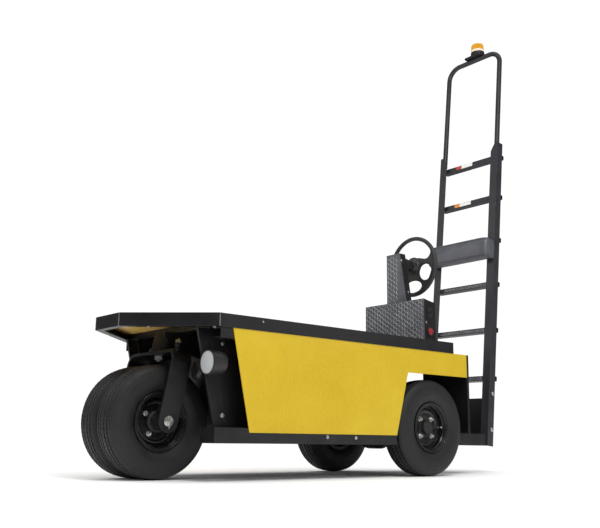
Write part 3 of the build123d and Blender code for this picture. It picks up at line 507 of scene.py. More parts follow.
def piece(name, shape, material, body, replaces=(), crease=32):
    """Makes an object from a shape: joins doubled points, turns the faces outwards, smooths up to a
    crease angle in degrees, and hangs it on a body of the frame."""
    points, faces = shape
    mesh = bpy.data.meshes.new(name)
    mesh.from_pydata(points.tolist(), [], faces.tolist())
    work = bmesh.new()
    work.from_mesh(mesh)
    bmesh.ops.remove_doubles(work, verts=work.verts, dist=2e-6)
    bmesh.ops.dissolve_degenerate(work, edges=work.edges, dist=1e-6)
    bmesh.ops.recalc_face_normals(work, faces=work.faces)
    work.to_mesh(mesh)
    work.free()
    mesh.polygons.foreach_set("use_smooth", np.ones(len(mesh.polygons), bool))
    mesh.set_sharp_from_angle(angle=np.radians(crease))
    mesh.materials.append(material)
    made = bpy.data.objects.new(name, mesh)
    bpy.context.scene.collection.objects.link(made)
    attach(made, body)
    if replaces:
        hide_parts(*replaces)
    print(name, "faces:", len(mesh.polygons))
    return made


# %% [markdown]
# ## Tyres
#
# The truck runs on industrial pneumatic tyres with a rib tread: bands of rubber parted by
# grooves that zigzag round the tyre. They come out of a steel mould that is cut with this pattern.
# Here the section's own points sit on the grooves' edges, and the whole section is shifted
# sideways by a triangle wave as it goes round, so that the grooves zigzag with no wasted faces.

# %% Tyres with a zigzag rib tread
flank = smooth_line([(46.6, 102), (47.5, 112), (49, 119), (58, 131), (66.5, 149), (69, 166), (67, 190),
                     (61.5, 207), (54.5, 217.5)], 4)
flank_ridges = ((126, 2.4, 2.0), (140, 1.2, 0.8), (184, 1.6, 0.8), (203, 1.8, 1.3))
half_width = 68.9
ridges = sum(height * np.exp(-((flank[:, 1] - ridge_at) / width) ** 2)
             for ridge_at, width, height in flank_ridges)
flank[:, 0] = np.minimum(flank[:, 0] + ridges, half_width)
ribs = [(51.5, 221.0), (47, 223.4), (38.4, 225.3), (37.4, 224.2), (36.0, 212.0), (30.6, 212.0), (29.2, 225.0),
        (28.2, 226.2), (18.6, 227.2), (17.6, 226.0), (16.2, 213.0), (10.8, 213.0), (9.4, 226.6), (8.4, 227.8)]
half_section = np.concatenate([flank, ribs])
section = np.concatenate([half_section, [(0.0, 228.0)], half_section[::-1] * (-1, 1)])
teeth, zigzag, notch = 84, 3.2, 1.6
tread_edge, shoulder = 49, 53


def tyre(centre):
    """P(a, t) = centre + (0, w + z * wave(a), 0) + (r - n * notch(a)) * (sin a, 0, cos a), where w and r are
    the section's width and radius, z is 1 on the tread and 0 on the flanks, and n marks the shoulder."""
    angle = np.linspace(0.0, 2 * np.pi, teeth * 4, endpoint=False)[:, None]
    width, radius = section[:, 0], section[:, 1]
    on_tread = np.clip((tread_edge - np.abs(width)) / 8, 0.0, 1.0)
    on_shoulder = np.exp(-((np.abs(width) - shoulder) / 3.0) ** 2)
    wave = 2 / np.pi * np.arcsin(np.sin(teeth * angle))
    y = width + zigzag * on_tread * wave
    r = radius - notch * on_shoulder * np.maximum(np.cos(teeth * angle), 0.0)
    points = np.stack([r * np.sin(angle), np.broadcast_to(y, r.shape), r * np.cos(angle)], axis=-1) * mm
    return grid(np.asarray(centre) + points, wrap_u=True, wrap_v=True)


for wheel, body in (("front_tyre_left", "front_wheels"), ("front_tyre_right", "front_wheels"),
                    ("rear_tyre_left", "rear_wheel_left"), ("rear_tyre_right", "rear_wheel_right")):
    piece(f"{wheel}_tread", tyre(middle(wheel)), tyre_rubber, body, replaces=[wheel])

# %% [markdown]
# ## Rims, nuts and valves
#
# A pressed steel wheel: a barrel rolled with a lip on each side, and a disc welded across it
# with a raised ring outside the nuts. Four plated nuts hold it. The valve stands in the well.

# %% Rims, wheel nuts and valve stems
rim_line = [(-51, 101.6), (-51, 117), (-57, 117), (-57, 112.5), (-55, 112), (-55, 97.6), (9, 97.6),
            (9, 90), (15, 84), (15, 78), (11, 73), (11, 44.6), (17, 44.6), (17, 72), (21.5, 78),
            (21.5, 85), (15.5, 92), (15.5, 97.6), (40, 97.6), (46, 103), (55, 104.5), (55, 112),
            (57, 112.5), (57, 117), (51, 117), (51, 101.6)]
rim_section = rounded(rim_line, 2.2)
hexagon = rounded([(0, 0), (0, 9.6), (9.5, 9.6), (11.5, 8.2), (11.5, 0)], 0.4, 3, closed=False)
stud = rounded([(10, 0), (10, 5), (15, 5), (17, 4), (17, 0)], 0.5, 3, closed=False)
washer = rounded([(0, 0), (0, 11.5), (2, 11.5), (2, 0)], 0.5, 3, closed=False)
valve = rounded([(0, 0), (0, 5.5), (12, 5), (12, 3.8), (26, 3.8), (26, 4.6), (34, 4.6), (34, 0)],
                0.5, 3, closed=False)
nut_circle, disc_face = 56, 17.0
valve_circle, valve_foot = 88, 16


def wheel_fittings(centre, out, turn_degrees):
    """Four nuts with their studs round the wheel's middle, on the disc's outer face."""
    angle = np.radians(turn_degrees + np.array((45.0, 135.0, 225.0, 315.0)))
    places = np.stack([nut_circle * np.cos(angle), np.full(4, disc_face * out),
                       nut_circle * np.sin(angle)], axis=-1) * mm
    way = (0.0, float(out), 0.0)
    nut = together(*[turned(profile, (0, 0, 0), way, segments)
                     for profile, segments in ((washer, 24), (hexagon, 6), (stud, 18))])
    return copies(nut, np.asarray(centre) + places)


def valve_stem(centre, out, degrees):
    """A valve beside the disc, leaning outwards from it."""
    angle = np.radians(degrees)
    radial = np.array((np.cos(angle), 0.0, np.sin(angle)))
    start = np.asarray(centre) + radial * valve_circle * mm + np.array((0.0, out * valve_foot * mm, 0.0))
    return turned(valve, start, (radial[0] * -0.25, out, radial[2] * -0.25), 16)


twins = [(middle("front_tyre_left"), 1), (middle("front_tyre_right"), -1)]
piece("front_rims_pressed", together(*[turned(rim_section, c, (0, s, 0), 128, True) for c, s in twins]),
      rim_enamel, "front_wheels", replaces=["front_rims"])
piece("front_wheel_nuts", together(*[wheel_fittings(c, s, -12.6) for c, s in twins]), zinc_plate,
      "front_wheels")
piece("front_valves", together(*[valve_stem(c, s, 120) for c, s in twins]), black_casting,
      "front_wheels")
for name, out in (("left", 1), ("right", -1)):
    centre, body = middle(f"rear_tyre_{name}"), f"rear_wheel_{name}"
    piece(f"rear_rim_{name}_pressed", turned(rim_section, centre, (0, out, 0), 128, True), rim_enamel, body,
          replaces=[f"rear_rim_{name}"])
    piece(f"rear_wheel_nuts_{name}", wheel_fittings(centre, out, 0), zinc_plate, body)
    piece(f"rear_valve_{name}", valve_stem(centre, out, 178), zinc_plate, body)

# %% [markdown]
# ## Front axle
#
# A plated steel axle is clamped across the fork by two castle nuts. A split pin through each
# nut stops it from working loose; its legs are bent down over the nut.

# %% Axle, castle nuts and split pins
fork_outside = 185
axle_ends = []
for out in (1, -1):
    way, face = (0.0, float(out), 0.0), front_axle + np.array((0.0, out * fork_outside * mm, 0.0))
    axle_ends += [
        spun([(0, 0), (0, 21), (2.5, 21), (2.5, 0)], 0.6, 3, face, way, 48),
        spun([(2.5, 0), (2.5, 17.5), (10, 17.5), (12, 16), (12, 0)], 0.5, 3, face, way, 6),
        spun([(11, 0), (11, 14), (15, 13.6), (15, 0)], 0.5, 3, face, way, 32),
        spun([(-20, 0), (-20, 20.5), (-12.4, 20.5), (-12.4, 0)], 0.6, 3, face, way, 48),
    ]
    leg = np.array([(0, 13.4, 14), (0, 14.0, 0), (0.5, 14.4, -16), (3, 14.2, -24), (7, 13.6, -29)])
    axle_ends.append(tube(face + smooth_line(leg * (1, out, 1), 5) * mm, 1.6, 8, up=(1.0, 0.0, 0.0)))
shaft = spun([(-199, 0), (-199, 12.5), (199, 12.5), (199, 0)], 1.5, 4, front_axle, (0, 1, 0), 40)
piece("front_axle_and_nuts", together(shaft, *axle_ends), zinc_plate, "fork",
      replaces=["front_axle"])

# %% [markdown]
# ## Chequer plate
#
# The console, the side panels, the platform and the lower rungs are chequer plate: steel rolled
# hot between a smooth roller and one cut with short lozenges, so that raised bars stand on it at
# 45 degrees to each other. They keep a shoe from slipping. Each bar here is its own small dome.

# %% Raised bars on chequer plate
def bar_field(origin, across, up, corners, pitch=(20.0, 13.0), size=(11.0, 3.0), height=1.3, edge=9.0):
    """Bars on a flat face, inside an outline of (across, up) in millimetres. A bar turned by 45 degrees
    is P(u, v) = (L u, W v sqrt(1 - 0.8 u^2)) with the height H (1 - v^2) (1 - u^4)."""
    u, v = np.linspace(-1, 1, 9)[:, None], np.linspace(-1, 1, 5)[None, :]
    long, wide = size[0] * u + 0 * v, size[1] * v * np.sqrt(1 - 0.8 * u ** 2)
    rise = height * (1 - v ** 2) * (1 - u ** 4) - 0.05
    across, up = unit(across), unit(up)
    out = np.cross(across, up)
    low, high = corners.min(axis=0), corners.max(axis=0)
    i, j = np.meshgrid(*[np.arange(low[n] + edge + 3, high[n] - edge - 1, pitch[n]) for n in (0, 1)],
                       indexing="ij")
    odd = (np.add.outer(np.arange(i.shape[0]), np.arange(i.shape[1])) % 2).astype(bool)
    edges = np.roll(corners, -1, axis=0) - corners
    inward = unit(np.stack([-edges[:, 1], edges[:, 0]], axis=1))
    inside = ((np.stack([i, j], axis=-1)[:, :, None] - corners) * inward).sum(axis=-1).min(axis=-1) > edge
    fields = []
    for sign, chosen in ((1, inside & odd), (-1, inside & ~odd)):
        x, y = (long - sign * wide) * np.sqrt(0.5), (sign * long + wide) * np.sqrt(0.5)
        bar = (x[..., None] * across + y[..., None] * up + rise[..., None] * out) * mm
        spots = (i[chosen][:, None] * across + j[chosen][:, None] * up) * mm + np.asarray(origin)
        fields.append(copies(grid(bar), spots))
    return together(*fields)


plate_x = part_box("console_plate")[1][0]
plate_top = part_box("console_plate")[1][2] / mm
console_half, tower_half, deck_top, plate_shoulder = 213, 48, 648, 893
lower_part = np.array([(-console_half, deck_top), (console_half, deck_top),
                       (console_half, plate_shoulder), (-console_half, plate_shoulder)], float)
tower_part = np.array([(-tower_half, plate_shoulder), (tower_half, plate_shoulder),
                       (tower_half, plate_top), (-tower_half, plate_top)], float)
plate_bars = [bar_field((plate_x, 0.0, 0.0), (0, 1, 0), (0, 0, 1), part) for part in (lower_part, tower_part)]
piece("console_tread_bars", together(*plate_bars), tread_crest, "chassis")

skin, deck_bottom = 382, 594
panel_rear = np.array([(-275, 480), (164, 480), (164, deck_bottom), (-275, deck_bottom)], float)
panel_front = np.array([(245, 188), (1090, 188), (1182, deck_bottom), (133, deck_bottom)], float)
panel_bars = []
for side in (1, -1):
    for part in (panel_rear, panel_front):
        outline = (part * (-1, 1))[::-1] if side == 1 else part
        panel_bars.append(bar_field(spot(0, side * skin, 0), (-side, 0, 0), (0, 0, 1), outline, height=0.9))
piece("side_panel_bars", together(*panel_bars), yellow_enamel, "chassis")

floor_low, floor_high = (np.array(corner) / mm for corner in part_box("platform_floor"))
floor_shape = np.array([(floor_low[0], floor_low[1]), (floor_high[0], floor_low[1]),
                        (floor_high[0], floor_high[1]), (floor_low[0], floor_high[1])])
floor_bars = bar_field((0, 0, floor_high[2] * mm), (1, 0, 0), (0, 1, 0), floor_shape)
piece("platform_tread_bars", floor_bars, tread_crest, "chassis")

# %% [markdown]
# ## Ladder
#
# The ladder leans back six and a half degrees. A point on it is given by its height, how far it
# stands in front of the uprights' front face, and how far to the left. The rungs are box section
# with chequer bars on top, and the four lower ones also in front. The two upper ones have plain
# adhesive bands there, left blank here.

# %% Rung treads and blank bands
lean = np.radians(6.46)
lean_up = np.array((-np.sin(lean), 0, np.cos(lean)))
lean_forward = np.array((np.cos(lean), 0, np.sin(lean)))
leftwards = np.array((0.0, 1.0, 0.0))
foot_height = 144
ladder_foot = spot(-640.3, 0, foot_height)
rung_heights = (515.0, 791.0, 1060.0, 1327.0, 1595.0, 1849.0)
rung_face, rung_middle, rung_half = -24, -48, 14


def on_ladder(height, forward, side=0.0):
    """foot + (height - foot height) / cos(lean) * up + forward * ahead + side * left, in millimetres."""
    up = (height - foot_height) / np.cos(lean) * lean_up
    return ladder_foot + (up + forward * lean_forward + side * leftwards) * mm


rung_front = np.array([(-214, -14), (214, -14), (214, 14), (-214, 14)], float)
rung_top = np.array([(-214, -27), (214, -27), (214, 27), (-214, 27)], float)
rung_bars = []
for i, height in enumerate(rung_heights):
    if i < 4:
        rung_bars.append(bar_field(on_ladder(height, rung_face), (0, 1, 0), lean_up, rung_front,
                                   (11.0, 9.0), (6.0, 2.3), 1.3, 5.0))
    rung_bars.append(bar_field(on_ladder(height, rung_middle) + rung_half * mm * lean_up, (0, 1, 0),
                               -lean_forward, rung_top, (15.5, 13.0), (8.0, 2.6), 1.2))
piece("rung_tread_bars", together(*rung_bars), tread_crest, "chassis")

label_white = layered("white_vinyl_label", "#e9e9e4", 0.4, (30, ("#dededa", "#f0f0ec"), (0.34, 0.46)))
label_orange = layered("orange_vinyl_label", "#d98a2b", 0.4, (20, ("#cf7f22", "#e29539"), (0.34, 0.46)))
label_red = layered("red_vinyl_label", "#bb3a2e", 0.4, (20, ("#b03327", "#c6483c"), (0.34, 0.46)))
band_outline = rounded([(-62, -11), (62, -11), (62, 11), (-62, 11)], 3.0)
edge_outline = rounded([(-62, -11), (-22, -11), (-22, 11), (-62, 11)], 3.0)
labels = (("upper", rung_heights[5], label_red), ("lower", rung_heights[4], label_orange))
for name, height, coloured in labels:
    band_middle = on_ladder(height, rung_face - 0.1, -46)
    piece(f"label_{name}_rung", slab(band_outline, band_middle, (0, 1, 0), lean_up, 0.5, 0.2),
          label_white, "chassis")
    piece(f"label_edge_{name}_rung", slab(edge_outline, band_middle, (0, 1, 0), lean_up, 0.8, 0.2),
          coloured, "chassis")

# %% [markdown]
# ## Backrest
#
# A foam block in charcoal vinyl, sewn with a welt round its top and bottom edges. The skin is drawn
# over the foam, so every face swells a little and the edges pull in at the seams.

# %% Backrest
vinyl, tree, shader, place = finish("charcoal_upholstery_vinyl", "#505157", 0.46, Coat_Weight=0.1)
drift(tree, shader, place, 70, ("#494a50", "#595a61"), (0.4, 0.54))
hide = node(tree, "ShaderNodeTexVoronoi", {"Vector": place, "Scale": 420.0}, feature="DISTANCE_TO_EDGE")
creases = node(tree, "ShaderNodeBump",
               {"Height": hide.outputs["Distance"], "Distance": 0.25 * mm, "Strength": 0.7})
tree.links.new(creases.outputs["Normal"], shader.inputs["Normal"])

pad_plan = rounded([(0, -219), (77, -219), (77, 219), (0, 219)], [4, 62, 62, 4], 14)
along_plan = np.roll(pad_plan, -1, axis=0) - np.roll(pad_plan, 1, axis=0)
plan_out = unit(np.stack([along_plan[:, 1], -along_plan[:, 0]], axis=1))
pad_rows = np.array([(3.0, 40.0), (0.5, 16.0), (0.0, 9.0), (2.0, 4.0), (6.0, 1.2), (12.0, 0.2),
                     (35.0, -1.6), (58.0, -2.4), (81.0, -1.6), (104.0, 0.2), (110.0, 1.2), (114.0, 4.0),
                     (116.5, 9.0), (118.0, 18.0), (120.0, 34.0)])
pad_core = np.broadcast_to(pad_plan.mean(axis=0), pad_plan.shape)
inset = np.minimum(pad_rows[:, 1], 36.0)[:, None, None]
pad_flat = np.concatenate([pad_core[None], pad_plan[None] - inset * plan_out[None], pad_core[None]])
pad_height = np.concatenate([[3.5], pad_rows[:, 0], [121.0]])[:, None, None]
pad_foot = on_ladder(1198, 0)


def on_pad(level, flat):
    """A point of the pad from a height over its foot and a place (forward, left) on its plan."""
    return pad_foot + (level * lean_up + flat[..., :1] * lean_forward + flat[..., 1:] * leftwards) * mm


pad = piece("backrest_pad", grid(on_pad(pad_height, pad_flat), wrap_v=True), vinyl, "chassis",
            replaces=["backrest"], crease=60)
front_edge = pad_plan[14:42] + 0.6 * plan_out[14:42]
welts = [tube(on_pad(level, front_edge), 2.0, 8) for level in (9.0, 107.0)]
piece("backrest_welts", together(*welts), vinyl, "chassis", crease=60)

# %% [markdown]
# ## Steering wheel
#
# One moulding of hard black plastic over a steel core: a round grip, and four spokes that flare
# out into it. At each distance from the middle, the edges of the holes give the two angles that
# a spoke lies between, so a spoke is a closed section carried outwards between those angles.

# %% Steering wheel
wheel_middle = spot(-315, 0, 1117)
out_from_hub = 42 + 109 * (1 - np.cos(np.linspace(0, np.pi, 90))) / 2


def hole_edges(across, drop, half_across, half_up, angles):
    """The lowest and highest angle at which each circle round the middle lies in an elliptical hole."""
    turn_by = np.radians(angles)[None, :]
    y, z = out_from_hub[:, None] * np.cos(turn_by), out_from_hub[:, None] * np.sin(turn_by)
    inside = ((y - across) / half_across) ** 2 + ((z + drop) / half_up) ** 2 < 1
    middle_angle = np.arctan2(-drop, across)
    return (np.where(inside.any(axis=1), np.where(inside, turn_by, 9).min(axis=1), middle_angle),
            np.where(inside.any(axis=1), np.where(inside, turn_by, -9).max(axis=1), middle_angle))


hub_edge = np.polyfit((52, 87.3, 120.9, 144.5), (60, 23.6, 20.8, 27.6), 3)
top_edge = np.radians(np.polyval(hub_edge, out_from_hub))
side_low, side_high = hole_edges(88, 41, 43, 45, np.linspace(-80, 40, 1201))
low_hole = hole_edges(0, 114, 60, 33, np.linspace(-90, -20, 701))[1]
loop = np.linspace(0, 2 * np.pi, 28, endpoint=False)
boxy = np.stack([np.sign(np.sin(loop)) * np.abs(np.sin(loop)) ** 0.5,
                 np.sign(np.cos(loop)) * np.abs(np.cos(loop)) ** 0.35], axis=1)


def spoke(start, end, mirror):
    """P(r, l) = (x, r cos a, r sin a), where a runs between the two edges and x is a rounded box's depth."""
    share = 0.5 + 0.5 * boxy[None, :, 1]
    angle = start[:, None] * (1 - share) + end[:, None] * share
    radius = out_from_hub[:, None]
    points = np.stack([np.broadcast_to(4.5 * boxy[:, 0], angle.shape), mirror * radius * np.cos(angle),
                       radius * np.sin(angle)], axis=-1)
    return grid(wheel_middle + points * mm, wrap_v=True)


def flare(mirror):
    """The web's solid border inside the grip: a rounded box section carried along an arc."""
    angle = np.radians(np.linspace(-66, 23, 60))[:, None]
    radius = 143 + 7.5 * boxy[None, :, 1]
    points = np.stack([np.broadcast_to(4.45 * boxy[:, 0], (60, len(loop))), mirror * radius * np.cos(angle),
                       radius * np.sin(angle)], axis=-1)
    return grid(wheel_middle + points * mm, wrap_v=True)


grip_line = np.stack([11.4 * np.sin(loop), 159.5 + 11.4 * np.cos(loop)], axis=1)
grip = turned(grip_line, wheel_middle, (1, 0, 0), 144, True)
hub = spun([(-16.8, 0), (-16.8, 22), (-12, 38), (-5.5, 46), (-5.2, 53), (5.2, 53), (5.5, 46), (14, 40),
            (33, 36), (33, 0)], 2.5, 5, wheel_middle, (1, 0, 0), 72)
button = spun([(-14, 0), (-14, 15), (-17, 15), (-17, 0)], 1.0, 4, wheel_middle, (1, 0, 0), 48)
web = [spoke(side_high, top_edge, m) for m in (1, -1)] + [spoke(low_hole, side_low, m) for m in (1, -1)]
piece("steering_wheel_moulding", together(grip, hub, button, *web, flare(1), flare(-1)), grip_plastic,
      "steering_wheel", replaces=["steering_wheel"])

# %% [markdown]
# ## Lamps and horn
#
# The headlamp is a deep black can with a plated bowl behind a ribbed glass; the ribs spread its
# beam sideways. The beacon's dome is amber acrylic with upright flutes, over a bright core that
# turns the bulb's light outwards. Both finishes pass part of the light and show the rest as colour;
# the glass's pale grey colour is painted light, standing in for the bright bowl seen through it.

# %% Headlamp glass, bowl and bezel
# The glass's pale grey base colour is painted light: the bright plated bowl behind it, painted onto the
# glass.
clear_glass, tree, shader, place = finish("pressed_glass_painted_with_bowl_light", "#d6d9da", 0.08,
                                          Transmission_Weight=0.3, IOR=1.5)
grain(tree, shader, place, 6.0, 0.05)
bright_bowl = layered("vacuum_plated_reflector", "#e6e7e5", 0.3,
                      (20, ("#dcdddb", "#f0f0ee"), (0.24, 0.36)), metallic=0.6)

lens_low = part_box("headlamp_lens")[0]
lamp_middle = np.array((lens_low[0] + 8 * mm, *middle("headlamp_lens")[1:]))


def ribbed_glass(radius, crown, rib, across):
    """P(r, a) = (c (1 - (r / R)^2) + h cos(2 pi y / w), y, z), where y = r cos a and z = r sin a."""
    r = radius * np.sqrt(np.linspace(0, 1, 34))[None, :]
    a = np.linspace(0, 2 * np.pi, 120, endpoint=False)[:, None]
    y, z = r * np.cos(a), r * np.sin(a)
    fade = np.clip((1 - r / radius) * 12, 0, 1)
    x = crown * (1 - (r / radius) ** 2) + rib * fade * (np.cos(2 * np.pi * y / across) - 1)
    front = grid(lamp_middle + np.stack([x, y, z], axis=-1) * mm, wrap_u=True)
    back = grid(lamp_middle + np.stack([np.broadcast_to(-1.6, x.shape), y, z], axis=-1) * mm, wrap_u=True)
    return together(front, back)


piece("headlamp_glass", ribbed_glass(44.4, 6.4, 0.5, 5.6), clear_glass, "chassis",
      replaces=["headlamp_lens"])
bowl_line = smooth_line([(-7.4, 0), (-7.2, 14), (-6.4, 26), (-4.6, 37), (-1.8, 44.2)], 6)
bowl = turned(bowl_line, lamp_middle, (1, 0, 0), 96)
bulb = spun([(-7.4, 0), (-7.4, 6), (-3.0, 6), (-2.4, 0)], 1.8, 6, lamp_middle, (1, 0, 0), 32)
piece("headlamp_bowl", together(bowl, bulb), bright_bowl, "chassis")
bezel_line = rounded([(-14, 48.9), (-14, 49.9), (-3, 49.9), (1.8, 49.0), (1.8, 46.4), (0.2, 44.6),
                      (-2, 44.6), (-2, 49.6)], 1.2, 5)
bezel = turned(bezel_line, lamp_middle, (1, 0, 0), 120, True)
piece("headlamp_bezel", bezel, grained_plastic, "chassis")

# %% Beacon dome, core and horn rings
amber = layered("amber_acrylic", "#f7b52c", 0.2, (25, ("#f6ae22", "#f9bf44"), (0.16, 0.26)),
                Transmission_Weight=0.3, IOR=1.49)
dome_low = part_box("beacon_lens")[0]
dome_foot = np.array((*middle("beacon_lens")[:2], dome_low[2]))
dome_line = rounded([(13, 40.6), (14, 40.6), (14.1, 40.2), (44, 39.0), (56.5, 34), (57.2, 0)],
                    (0.3, 0.3, 0.3, 8, 9, 0), 7, closed=False)


def fluted(line, flutes, depth, segments):
    """P(a, t) = foot + (r k cos a, r k sin a, h), with k = 1 - depth * (1 - cos(flutes a)) / 2 on
    the wall."""
    a = np.linspace(0, 2 * np.pi, segments, endpoint=False)[:, None]
    height, radius = line[None, :, 0], line[None, :, 1]
    wall = np.clip((height - 8) / 4, 0, 1) * np.clip((54 - height) / 8, 0, 1)
    r = radius * (1 - depth * wall * (1 - np.cos(flutes * a)) / 2)
    points = np.stack([r * np.cos(a), r * np.sin(a), np.broadcast_to(height, r.shape)], axis=-1)
    return grid(dome_foot + points * mm, True)


steps_up = np.linspace(0, 1, 60)
dome_corners = np.arange(len(dome_line))
dense = np.stack([np.interp(steps_up * (len(dome_line) - 1), dome_corners, dome_line[:, i])
                  for i in (0, 1)], axis=1)
piece("beacon_dome", fluted(dense, 36, 0.05, 288), amber, "chassis",
      replaces=["beacon_lens"], crease=50)
core = spun([(0, 0), (0, 27), (4, 27), (10, 11), (40, 11), (44, 0)], 2.0, 5, dome_foot, (0, 0, 1), 48)
piece("beacon_core", core, bright_bowl, "chassis")
collar_plastic = layered("clear_dome_collar", "#f3e2d2", 0.3, (20, ("#f1d9c2", "#f7ece0"), (0.24, 0.36)))
collar_line = rounded([(0, 37), (0, 42), (3, 42), (4, 41.2), (13, 41.2), (14, 40.8), (14, 37)], 0.6, 4)
piece("beacon_collar", turned(collar_line, dome_foot, (0, 0, 1), 96, True), collar_plastic, "chassis")

horn_low, horn_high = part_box("horn")
horn_face = np.array((horn_high[0], horn_low[1] + 38 * mm, (horn_low[2] + horn_high[2]) / 2))
horn_rings = []
for r, lift in ((8.0, 0.8), (15.0, 0.8), (22.0, 0.8), (30.5, -4.5)):
    low, high = lift - 4, lift - 1
    ring_line = rounded([(low, r - 2.2), (high, r - 1.2), (high, r + 1.2), (low, r + 2.2)], 1.0, 4)
    horn_rings.append(turned(ring_line, horn_face, (1, 0, 0), 72, True))
piece("horn_rings", together(*horn_rings), black_casting, "chassis")

# %% [markdown]
# ## Bolts and small fittings
#
# Plated hexagon bolts hold the ladder, the posts, the sills and the deck, and round heads the
# console and the deck's band. One bolt is made for each way that it faces, and copied.

# %% Bolts, rivets and screws
def bolt(out, across=13.0, height=6.0):
    """A flanged hexagon bolt's head, standing on the origin and facing out."""
    flange = [(-1, 0), (-1, across * 0.78), (1.4, across * 0.78), (2.0, across * 0.6), (2.0, 0)]
    corner = across / 1.732
    head = [(1.5, 0), (1.5, corner), (height - 1, corner), (height, across * 0.45), (height, 0)]
    return together(spun(flange, 0.4, 3, (0, 0, 0), out, 24), spun(head, 0.4, 3, (0, 0, 0), out, 6))


def dome_head(out, radius, height):
    """A round rivet or screw head, standing on the origin and facing out."""
    angle = np.linspace(0, np.pi / 2, 8)
    line = np.stack([height * np.cos(angle), radius * np.sin(angle)], axis=1)
    return turned(np.concatenate([line, [(-1.0, radius)]]), (0, 0, 0), out, 24)


def both_sides(make, side, places, **sizes):
    """The same fittings on the left and the right face, at (station, height), a distance to the side."""
    return together(*[copies(make((0.0, float(s), 0.0), **sizes), [spot(x, s * side, z) for x, z in places])
                      for s in (1, -1)])


fasteners = [
    both_sides(bolt, 219, [(-685, 230), (-707, 425)], across=15.0, height=7.0),
    both_sides(bolt, 290, [(1157, 254), (1166, 540)], across=13.0),
    both_sides(bolt, 379, [(673, 176), (505, 175)], across=10.0, height=4.0),
    both_sides(dome_head, 385, [(1035, 632)], radius=4.0, height=2.0),
    both_sides(dome_head, 48, [(-166, 1124), (-217, 956)], radius=6.5, height=3.5),
    both_sides(dome_head, console_half, [(-169, 770), (-228, 630)], radius=6.0, height=3.0),
    copies(bolt((0.0, 0.0, -1.0), across=11.0),
           [spot(x, s * y, deck_bottom) for x, y in ((1255, 356), (1440, 168)) for s in (1, -1)]),
]
piece("plated_fasteners", together(*fasteners), zinc_plate, "chassis")

# %% Stem nut, ball joint nut and the deck band's corner highlight beads
rake = np.radians(12.0)
steer_up = np.array((-np.sin(rake), 0, np.cos(rake)))
crown_bottom, arm_top, ball_side = 273, 329, 122
crown_under = front_axle + steer_up * crown_bottom * mm
stem_nut = together(
    spun([(0, 0), (0, 24), (3, 24), (3, 0)], 0.6, 3, crown_under, -steer_up, 40),
    spun([(3, 0), (3, 20), (13, 20), (15, 18), (15, 0)], 0.5, 3, crown_under, -steer_up, 6),
    spun([(14, 0), (14, 11), (20, 10), (20, 0)], 0.5, 3, crown_under, -steer_up, 24),
)
ball_top = front_axle + (steer_up * arm_top + np.array((0, ball_side, 0))) * mm
ball_nut = together(
    spun([(-2, 0), (-2, 12.5), (8, 12.5), (9, 11), (9, 0)], 0.5, 3, ball_top, steer_up, 6),
    spun([(8, 0), (8, 6), (15, 5.4), (15, 0)], 0.5, 3, ball_top, steer_up, 20),
)
piece("stem_and_ball_nuts", together(stem_nut, ball_nut), zinc_plate, "fork")

# These beads are painted highlights: bright metal lines that stand in for the light caught along the deck
# band's bent corners.
bead_levels = np.linspace(594.5, 647.2, 12)
corner_highlight_beads = [tube(np.stack([spot(x, y, z) for z in bead_levels]), 1.9, 12, up=(0.0, 1.0, 0.0))
         for x, y in ((1248.9, 383.6), (1248.9, -383.6), (1535.0, 98.2), (1535.0, -98.2))]
corner_highlight_finish = layered("painted_corner_highlight_bead", "#a9abad", 0.4,
                      (8, ("#8f9193", "#c2c4c6"), (0.34, 0.5)), metallic=0.7)
piece("deck_corner_highlight_beads", together(*corner_highlight_beads), corner_highlight_finish, "chassis", crease=60)

# %% Console button, key switch plate and charging socket
red_plastic = layered("red_moulded_plastic", "#96202a", 0.36,
                      (12, ("#8c1c26", "#a32630"), (0.3, 0.42)), (0.8,))
button_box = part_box("stop_button")
button_foot = np.array((*middle("stop_button")[:1], button_box[0][1], middle("stop_button")[2]))
mushroom = rounded([(0, 0), (0, 12), (3, 12), (3, 15), (4, 18), (7, 18), (9.6, 13), (10, 0)],
                   (0, 1, 1, 1, 1, 2, 3, 0), 6, closed=False)
piece("stop_button_cap", turned(mushroom, button_foot, (0, 1, 0), 56), red_plastic, "chassis",
      replaces=["stop_button"])
collar_line = rounded([(0, 22), (0, 25), (3, 25), (4, 23), (4, 15), (0, 15)], 0.8, 4)
collar = turned(collar_line, button_foot, (0, 1, 0), 56, True)
socket_middle = spot(-197, console_half, 823)
socket_outline = rounded([(-19, -25), (19, -25), (19, 25), (-19, 25)], 5.0)
socket_frame = slab(socket_outline, socket_middle, (-1, 0, 0), (0, 0, 1), 3.0)
socket_bore = spun([(3, 0), (3, 6), (7, 6.5), (8, 12), (7, 14.5), (3, 15)], 0.5, 3, socket_middle,
                   (0, 1, 0), 40)
piece("console_fittings", together(collar, socket_frame, socket_bore), grained_plastic, "chassis")

# %% [markdown]
# ## Springs and pedals
#
# A leaf spring is a stack of flat spring steel strips, each shorter than the one above, so that
# the stack bends evenly. Two U bolts clamp it to the axle. The pedals have moulded rubber pads.

# %% Leaves, U bolts and pedal pads
def bar(path, half_width, half_depth, side):
    """A flat bar carried along a path: P(s, l) = path + half width * side + half depth * the normal,
    round a box section."""
    path = np.asarray(path, float)
    along = unit(np.gradient(path, axis=0))
    side = np.broadcast_to(unit(side), path.shape)
    normal = np.cross(side, along)
    rows = (path[:, None] + half_width * mm * boxy[None, :, 1:] * side[:, None]
            + half_depth * mm * boxy[None, :, :1] * normal[:, None])
    caps = [np.broadcast_to(path[i], (1, len(loop), 3)) for i in (0, -1)]
    return grid(np.concatenate([caps[0], rows, caps[1]]), wrap_v=True)


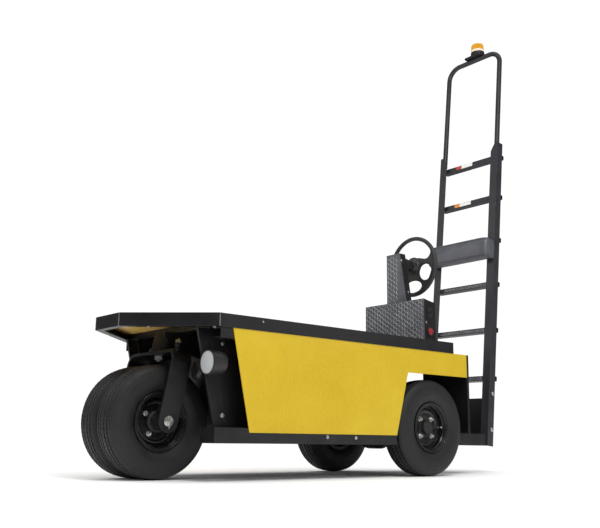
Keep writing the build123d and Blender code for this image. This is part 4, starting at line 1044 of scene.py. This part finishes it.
leaf_top, leaf_pitch, leaf_rise = 286.5, 6, 19.5
clamp_top, clamp_half = 291, 30
leaves, clamps = [], []
for side in (190, -190):
    for i in range(4):
        reach_out = 164 - 34 * i
        x = np.linspace(-reach_out, reach_out, 41)
        z = leaf_top - leaf_pitch * i + leaf_rise * (x / 165) ** 2
        leaves.append(bar(np.stack([spot(a, side, b) for a, b in zip(x, z)]), 25, 2.9, (0, 1, 0)))
    for station in (-30, 30):
        bend = np.radians(np.linspace(0, 180, 17))
        bow = np.stack([np.full(17, float(station)), side + clamp_half * np.cos(bend),
                        clamp_top + 8 * np.sin(bend)], axis=1)
        near = [(station, side + clamp_half, z) for z in (232, 252, 272)]
        far = [(station, side - clamp_half, z) for z in (272, 252, 232)]
        line = np.concatenate([near, bow, far])
        clamps.append(tube(np.stack([spot(*point) for point in line]), 5.0, 12, up=(1.0, 0.0, 0.0)))
piece("spring_leaves", together(*leaves), spring_steel, "chassis", replaces=["leaf_springs"])
piece("spring_clamps", together(*clamps), zinc_plate, "chassis", crease=60)

pedal_low, pedal_high = (np.array(corner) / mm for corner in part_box("pedals"))
slope = unit((99.3, 0.0, 64.3))
pedal_foot = np.array((pedal_low[0], 0.0, pedal_low[2])) * mm
rib_lift = np.cross((0, -1, 0), slope) * 2.9 * mm
tread_outline = rounded([(-42, -54), (42, -54), (42, 54), (-42, 54)], 8.0)
rib_outline = rounded([(-36, -2.5), (36, -2.5), (36, 2.5), (-36, 2.5)], 1.5)
pedal_shapes = []
for side in (1, -1):
    place_y = side * (pedal_high[1] - 45) * mm
    origin = pedal_foot + slope * 59 * mm + np.array((0.0, place_y, 0.0))
    pedal_shapes.append(slab(tread_outline, origin, (0, -1, 0), slope, 3.0, 1.0))
    pedal_shapes += [slab(rib_outline, origin + slope * step * mm + rib_lift, (0, -1, 0), slope, 3.0, 1.0)
                     for step in range(-44, 45, 11)]
piece("pedal_pads", together(*pedal_shapes), tyre_rubber, "chassis")

# %% Sizes
low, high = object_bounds()
